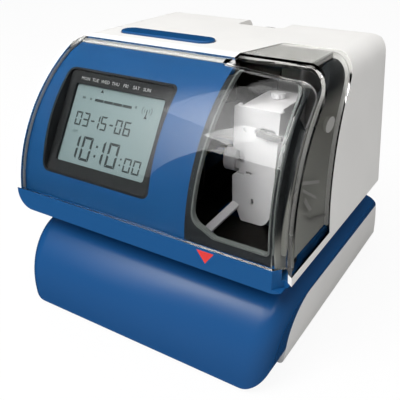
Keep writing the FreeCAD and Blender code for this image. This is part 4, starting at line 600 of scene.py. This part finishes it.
dress(moulded("key_grey", KEY_GREY, 0.45), "select_key", "change_key", "set_key")


# The print pointer.
# A red triangle pressed into the lip over the print line.

POINTER_RED = (0.64, 0.035, 0.032)

dress(moulded("pointer_red", POINTER_RED, 0.35, depth=0.01), "print_pointer")


# The clear cover.
# One moulding of faintly smoked acrylic over the front, the right side and part of the top. Light passes
# straight through it to the works behind.

CLEAR_TINT = (0.80, 0.80, 0.795)
CLEAR_SHADOW = (0.82, 0.825, 0.81)
CLEAR_ROUGHNESS, CLEAR_IOR = 0.02, 1.45


def clear_acrylic():
    """Glass for the eye, and a plain tint for rays from lamps."""
    material, tree, glass = surface("smoked_acrylic", CLEAR_TINT, CLEAR_ROUGHNESS)
    glass.inputs["Transmission Weight"].default_value = 1.0
    glass.inputs["IOR"].default_value = CLEAR_IOR
    output = tree.nodes["Material Output"]
    path = tree.nodes.new("ShaderNodeLightPath")
    film = tree.nodes.new("ShaderNodeBsdfTransparent")
    film.inputs["Color"].default_value = (*CLEAR_SHADOW, 1)
    mix = tree.nodes.new("ShaderNodeMixShader")
    tree.links.new(path.outputs["Is Shadow Ray"], mix.inputs[0])
    tree.links.new(glass.outputs[0], mix.inputs[1])
    tree.links.new(film.outputs[0], mix.inputs[2])
    tree.links.new(mix.outputs[0], output.inputs["Surface"])
    return material


dress(clear_acrylic(), "clear_cover")


# The display.
# A charcoal tray holds the liquid-crystal glass, grey green and softly lit by the room. Both lie a little
# further forward than in the plain solids, and the opening in the tray's floor is a little taller.

BEZEL_CHARCOAL = (0.026, 0.028, 0.030)
LCD_GREY = (0.235, 0.315, 0.325)
DISPLAY_TILT = math.radians(31.03)
ACROSS = np.array([1.0, 0.0, 0.0])
DISPLAY_FORWARD = 0.00589                       # how far the tray's floor and the glass are moved out
PLAIN_FLOOR = 0.09661                           # how far the floor of the plain tray lies out
GLASS_FACE, BEZEL_FACE = 0.09511 + DISPLAY_FORWARD, PLAIN_FLOOR + DISPLAY_FORWARD
PLAIN_OPENING = (-0.0570, -0.0010, 0.03977, 0.07670)     # left, right, foot and head in the solids
OPENING = (-0.0570, -0.0010, 0.0372, 0.0776)             # the same four of the opening shown here
OPENING_MIDDLE = 0.0583
GLASS_BORDER = 0.0020                           # glass below and above the opening
UP_THE_GLASS = np.array([0.0, math.sin(DISPLAY_TILT), math.cos(DISPLAY_TILT)])
OUT_OF_GLASS = np.array([0.0, -math.cos(DISPLAY_TILT), math.sin(DISPLAY_TILT)])


def closed_mesh(name, points, faces, material):
    """A welded mesh with its faces turned outwards, in a piece of its own."""
    mesh = bpy.data.meshes.new(name)
    mesh.from_pydata(points, [], faces)
    shape = bmesh.new()
    shape.from_mesh(mesh)
    bmesh.ops.remove_doubles(shape, verts=shape.verts, dist=1e-6)
    bmesh.ops.recalc_face_normals(shape, faces=shape.faces)
    shape.to_mesh(mesh)
    shape.free()
    mesh.materials.append(material)
    piece = bpy.data.objects.new(name, mesh)
    scene.collection.objects.link(piece)
    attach(piece, "machine")
    return piece


def reshaped(node, name, new_places, material):
    """The CAD node's form with its points shifted up and out of the display, as the function says."""
    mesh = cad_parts[node].data
    points = np.empty(len(mesh.vertices) * 3)
    mesh.vertices.foreach_get("co", points)
    points = points.reshape(-1, 3)
    up, out = points @ UP_THE_GLASS, points @ OUT_OF_GLASS
    new_up, new_out = new_places(points[:, 0], up, out)
    points += np.outer(new_up - up, UP_THE_GLASS) + np.outer(new_out - out, OUT_OF_GLASS)
    piece = closed_mesh(name, points.tolist(), [tuple(face.vertices) for face in mesh.polygons], material)
    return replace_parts(piece, node)


def tray_form(across, up, out):
    """Brings out the floor, which lies deepest, and shifts the foot and the head of its opening."""
    slack = 0.0003
    floor = out < PLAIN_FLOOR + slack
    opening = (floor & (across > PLAIN_OPENING[0] - slack) & (across < PLAIN_OPENING[1] + slack)
               & (up > PLAIN_OPENING[2] - slack) & (up < PLAIN_OPENING[3] + slack))
    shift = np.where(up < OPENING_MIDDLE, OPENING[2] - PLAIN_OPENING[2], OPENING[3] - PLAIN_OPENING[3])
    return up + opening * shift, out + floor * DISPLAY_FORWARD


def glass_form(across, up, out):
    """Brings the glass out with the floor, and sets its border behind the opening's foot and head."""
    foot, head = up.min(), up.max()
    new_up = np.where(up < (foot + head) / 2, up - foot + OPENING[2] - GLASS_BORDER,
                      up - head + OPENING[3] + GLASS_BORDER)
    return new_up, out + DISPLAY_FORWARD


tray = reshaped("display_bezel", "display_tray", tray_form,
                moulded("bezel_charcoal", BEZEL_CHARCOAL, 0.5, gloss=0.2, grain=2600.0, depth=0.01))
cell = reshaped("display_glass", "display_cell", glass_form,
                moulded("lcd_glass", LCD_GREY, 0.35, gloss=0.4, grain=4000.0, depth=0.004, cloud=0.03))


# The figures on the display.
# The liquid crystal darkens in flat cells: seven-segment figures for the date and the time, four dashes, a
# triangle under the weekday and an aerial. They are thin closed plates that stand a hair above the glass.

FIGURE_INK = (0.030, 0.042, 0.044)
FAINT_INK = (0.11, 0.15, 0.155)
PLATE_LIFT, PLATE_THICKNESS = 0.00002, 0.00006
MM = 0.001
LIT_CELLS = {"0": "abcdef", "1": "bc", "3": "abcdg", "5": "acdfg", "6": "acdefg", "-": "g"}


def on_display(face, right, down):
    """The places at so many millimetres right of and below the opening's head left corner, on a face."""
    return (np.multiply.outer(OPENING[0] + right * MM, ACROSS)
            + np.multiply.outer(OPENING[3] - down * MM, UP_THE_GLASS) + face * OUT_OF_GLASS)


def on_glass(right, down, out):
    return on_display(GLASS_FACE + PLATE_LIFT + out, right, down)


def figure(character, left, head, width, height, stroke):
    """The lit cells of a seven-segment figure, each an outline in millimetres across and down the opening."""
    half, middle, gap = height / 2, stroke / 2, stroke * 0.12
    upper = [(0, gap), (stroke, gap + stroke), (stroke, half - middle - gap), (0, half - gap)]
    lower = [(x, height - y) for x, y in upper]
    cells = {"a": [(gap, 0), (width - gap, 0), (width - gap - stroke, stroke), (gap + stroke, stroke)],
             "b": [(width - x, y) for x, y in upper], "c": [(width - x, y) for x, y in lower],
             "e": lower, "f": upper,
             "g": [(gap, half), (gap + middle, half - middle), (width - gap - middle, half - middle),
                   (width - gap, half), (width - gap - middle, half + middle), (gap + middle, half + middle)]}
    cells["d"] = [(x, height - y) for x, y in cells["a"]]
    return [[(left + x, head + y) for x, y in cells[cell]] for cell in LIT_CELLS[character]]


def bar(left, head, width, height):
    return [(left, head), (left + width, head), (left + width, head + height), (left, head + height)]


def arc(centre, radius, start, end, stroke, steps=8):
    """A curved stroke round a centre, from one angle to another, as one outline."""
    turn = np.radians(np.linspace(start, end, steps))
    ring = np.stack([np.cos(turn), np.sin(turn)], axis=1)
    return np.concatenate([ring * (radius + stroke / 2), ring[::-1] * (radius - stroke / 2)]) + centre


def plates(name, outlines, place, material):
    """Closed flat plates, one for each outline, set down by the place function: a foot, a face and a rim."""
    points, faces = [], []
    for outline in outlines:
        first, count = len(points), len(outline)
        across, along = np.array(outline).T
        points += place(across, along, 0.0).tolist() + place(across, along, PLATE_THICKNESS).tolist()
        faces += [tuple(range(first, first + count)), tuple(range(first + count, first + 2 * count))]
        for i in range(count):
            j = (i + 1) % count
            faces.append((first + i, first + j, first + count + j, first + count + i))
    return closed_mesh(name, points, faces, material)


# Each character comes with its left edge and its width, and each row with its head, height and stroke.
DATE = (("0", 4.3, 4.0), ("3", 9.3, 4.0), ("-", 14.4, 2.8), ("1", 16.2, 4.0), ("5", 20.9, 4.0),
        ("-", 26.4, 2.8), ("0", 30.4, 4.0), ("6", 35.7, 4.2))
TIME = (("1", 4.9, 6.4), ("0", 13.2, 6.5), ("1", 21.6, 6.4), ("0", 30.2, 6.5))
SECONDS = (("0", 41.5, 4.4), ("0", 47.1, 4.4))
ROWS = ((DATE, 13.8, 7.2, 0.85), (TIME, 25.6, 12.4, 1.3), (SECONDS, 31.0, 7.0, 0.85))
TIME_DOTS = ((22.3, 28.8, 1.2), (22.3, 33.6, 1.2), (38.8, 31.9, 0.9), (38.8, 34.8, 0.9))
DASH_COUNT, DASH_LEFT, DASH_PITCH, DASH_HEAD, DASH_WIDTH, DASH_HEIGHT = 4, 13.5, 5.95, 6.0, 5.6, 1.35
DAY_TRIANGLE = [(16.7, 0.8), (17.7, 2.5), (15.7, 2.5)]
AERIAL = (46.4, 6.8)
AERIAL_MAST = bar(46.15, 6.2, 0.5, 3.0)
AERIAL_FOOT = [(46.4, 8.6), (47.3, 10.7), (45.5, 10.7)]
AERIAL_WAVES, WAVE_SPREAD, WAVE_STROKE = (1.5, 2.9), 38, 0.42
FAINT_SIGNS = [bar(5.2, 5.9, 2.1, 1.2), bar(10.2, 6.0, 1.2, 1.2), bar(38.9, 5.4, 1.1, 1.3)]

dark_cells = []
for row, head, height, stroke in ROWS:
    for character, left, width in row:
        dark_cells += figure(character, left, head, width, height, stroke)
dark_cells += [bar(left, head, size, size) for left, head, size in TIME_DOTS]
dark_cells += [bar(DASH_LEFT + DASH_PITCH * place, DASH_HEAD, DASH_WIDTH, DASH_HEIGHT)
               for place in range(DASH_COUNT)]
dark_cells += [DAY_TRIANGLE, AERIAL_MAST, AERIAL_FOOT]
figure_ink = moulded("figure_ink", FIGURE_INK, 0.5, gloss=0.3, depth=0.0)
plates("display_figures", dark_cells, on_glass, figure_ink)

faint_cells = [arc(AERIAL, radius, middle - WAVE_SPREAD, middle + WAVE_SPREAD, WAVE_STROKE)
               for radius in AERIAL_WAVES for middle in (0, 180)] + FAINT_SIGNS
faint_ink = moulded("faint_ink", FAINT_INK, 0.5, gloss=0.3, depth=0.0)
plates("faint_figures", faint_cells, on_glass, faint_ink)


# The lettering of the display.
# The weekdays are pad printed in pale grey on the bezel over the opening, and the glass shows AM beside the
# time.

LETTER_GREY = (0.50, 0.51, 0.52)
WEEKDAYS = ("MON", "TUE", "WED", "THU", "FRI", "SAT", "SUN")
FIRST_WEEKDAY, WEEKDAY_PITCH, WEEKDAY_DOWN, WEEKDAY_SIZE = 5.2, 6.5, -2.0, 2.4
MORNING, MORNING_SIZE = ("AM", 6.3, 24.9), 2.3


def lettering(name, words, size, face, material):
    """Words cut from the plain font as thin closed plates. Each word comes with its place on the display."""
    points, faces = [], []
    for word, right, down in words:
        curve = bpy.data.curves.new(name, "FONT")
        curve.body = word
        curve.align_x = "CENTER"
        curve.size = size * MM
        curve.extrude = PLATE_THICKNESS / 2
        curve.resolution_u = 2
        holder = bpy.data.objects.new(name, curve)
        flat = bpy.data.meshes.new_from_object(holder)
        cut = np.empty(len(flat.vertices) * 3)
        flat.vertices.foreach_get("co", cut)
        start = on_display(face + PLATE_LIFT + PLATE_THICKNESS / 2, right, down)
        first = len(points)
        points += (start + cut.reshape(-1, 3) @ np.stack([ACROSS, UP_THE_GLASS, OUT_OF_GLASS])).tolist()
        faces += [tuple(first + corner for corner in polygon.vertices) for polygon in flat.polygons]
        bpy.data.objects.remove(holder)
        bpy.data.curves.remove(curve)
        bpy.data.meshes.remove(flat)
    return closed_mesh(name, points, faces, material)


weekdays = [(word, FIRST_WEEKDAY + WEEKDAY_PITCH * number, WEEKDAY_DOWN)
            for number, word in enumerate(WEEKDAYS)]
pale_print = moulded("pale_print", LETTER_GREY, 0.5, gloss=0.3, depth=0.0)
lettering("weekday_letters", weekdays, WEEKDAY_SIZE, BEZEL_FACE, pale_print)
lettering("morning_letters", [MORNING], MORNING_SIZE, GLASS_FACE, faint_ink)


# The marks of the side film.
# Light grey bars and an oval on the film of the window frame's side wall, seen through the clear side. They
# show how a card is laid in.

MARK_GREY = (0.36, 0.355, 0.34)
WALL_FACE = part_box("window_frame")[1].x
# Each bar: the places of its two ends from front to rear and above the table, and its thickness.
MARK_BARS = (((-63.5, 101.8), (-44.6, 95.1), 1.5), ((-62.8, 98.4), (-47.6, 88.6), 1.2),
             ((-60.7, 93.3), (-53.5, 84.8), 2.2), ((-54.9, 81.0), (-24.4, 70.4), 1.5))
OVAL_MIDDLE, OVAL_HALF, OVAL_STEPS = (-35.0, 118.2), (5.2, 3.4), 24


def on_wall(back, height, out):
    """The places on the side wall at so many millimetres from front to rear and above the table."""
    return (np.multiply.outer(back * MM, (0, 1, 0)) + np.multiply.outer(height * MM, (0, 0, 1))
            + np.array([WALL_FACE + PLATE_LIFT + out, 0, 0]))


def slanted(start, end, thickness):
    """A bar from one point to another, as one outline."""
    start, end = np.array(start), np.array(end)
    along = (end - start) / np.linalg.norm(end - start)
    side = np.array([-along[1], along[0]]) * thickness / 2
    return [start - side, end - side, end + side, start + side]


turn = np.linspace(0, 2 * math.pi, OVAL_STEPS + 1)[:-1]
oval = np.array(OVAL_MIDDLE) + np.stack([np.cos(turn), np.sin(turn)], axis=1) * OVAL_HALF
marks = [slanted(*bar_ends) for bar_ends in MARK_BARS] + [oval]
mark_grey = moulded("mark_grey", MARK_GREY, 0.5, depth=0.0)
plates("side_film_marks", marks, on_wall, mark_grey)
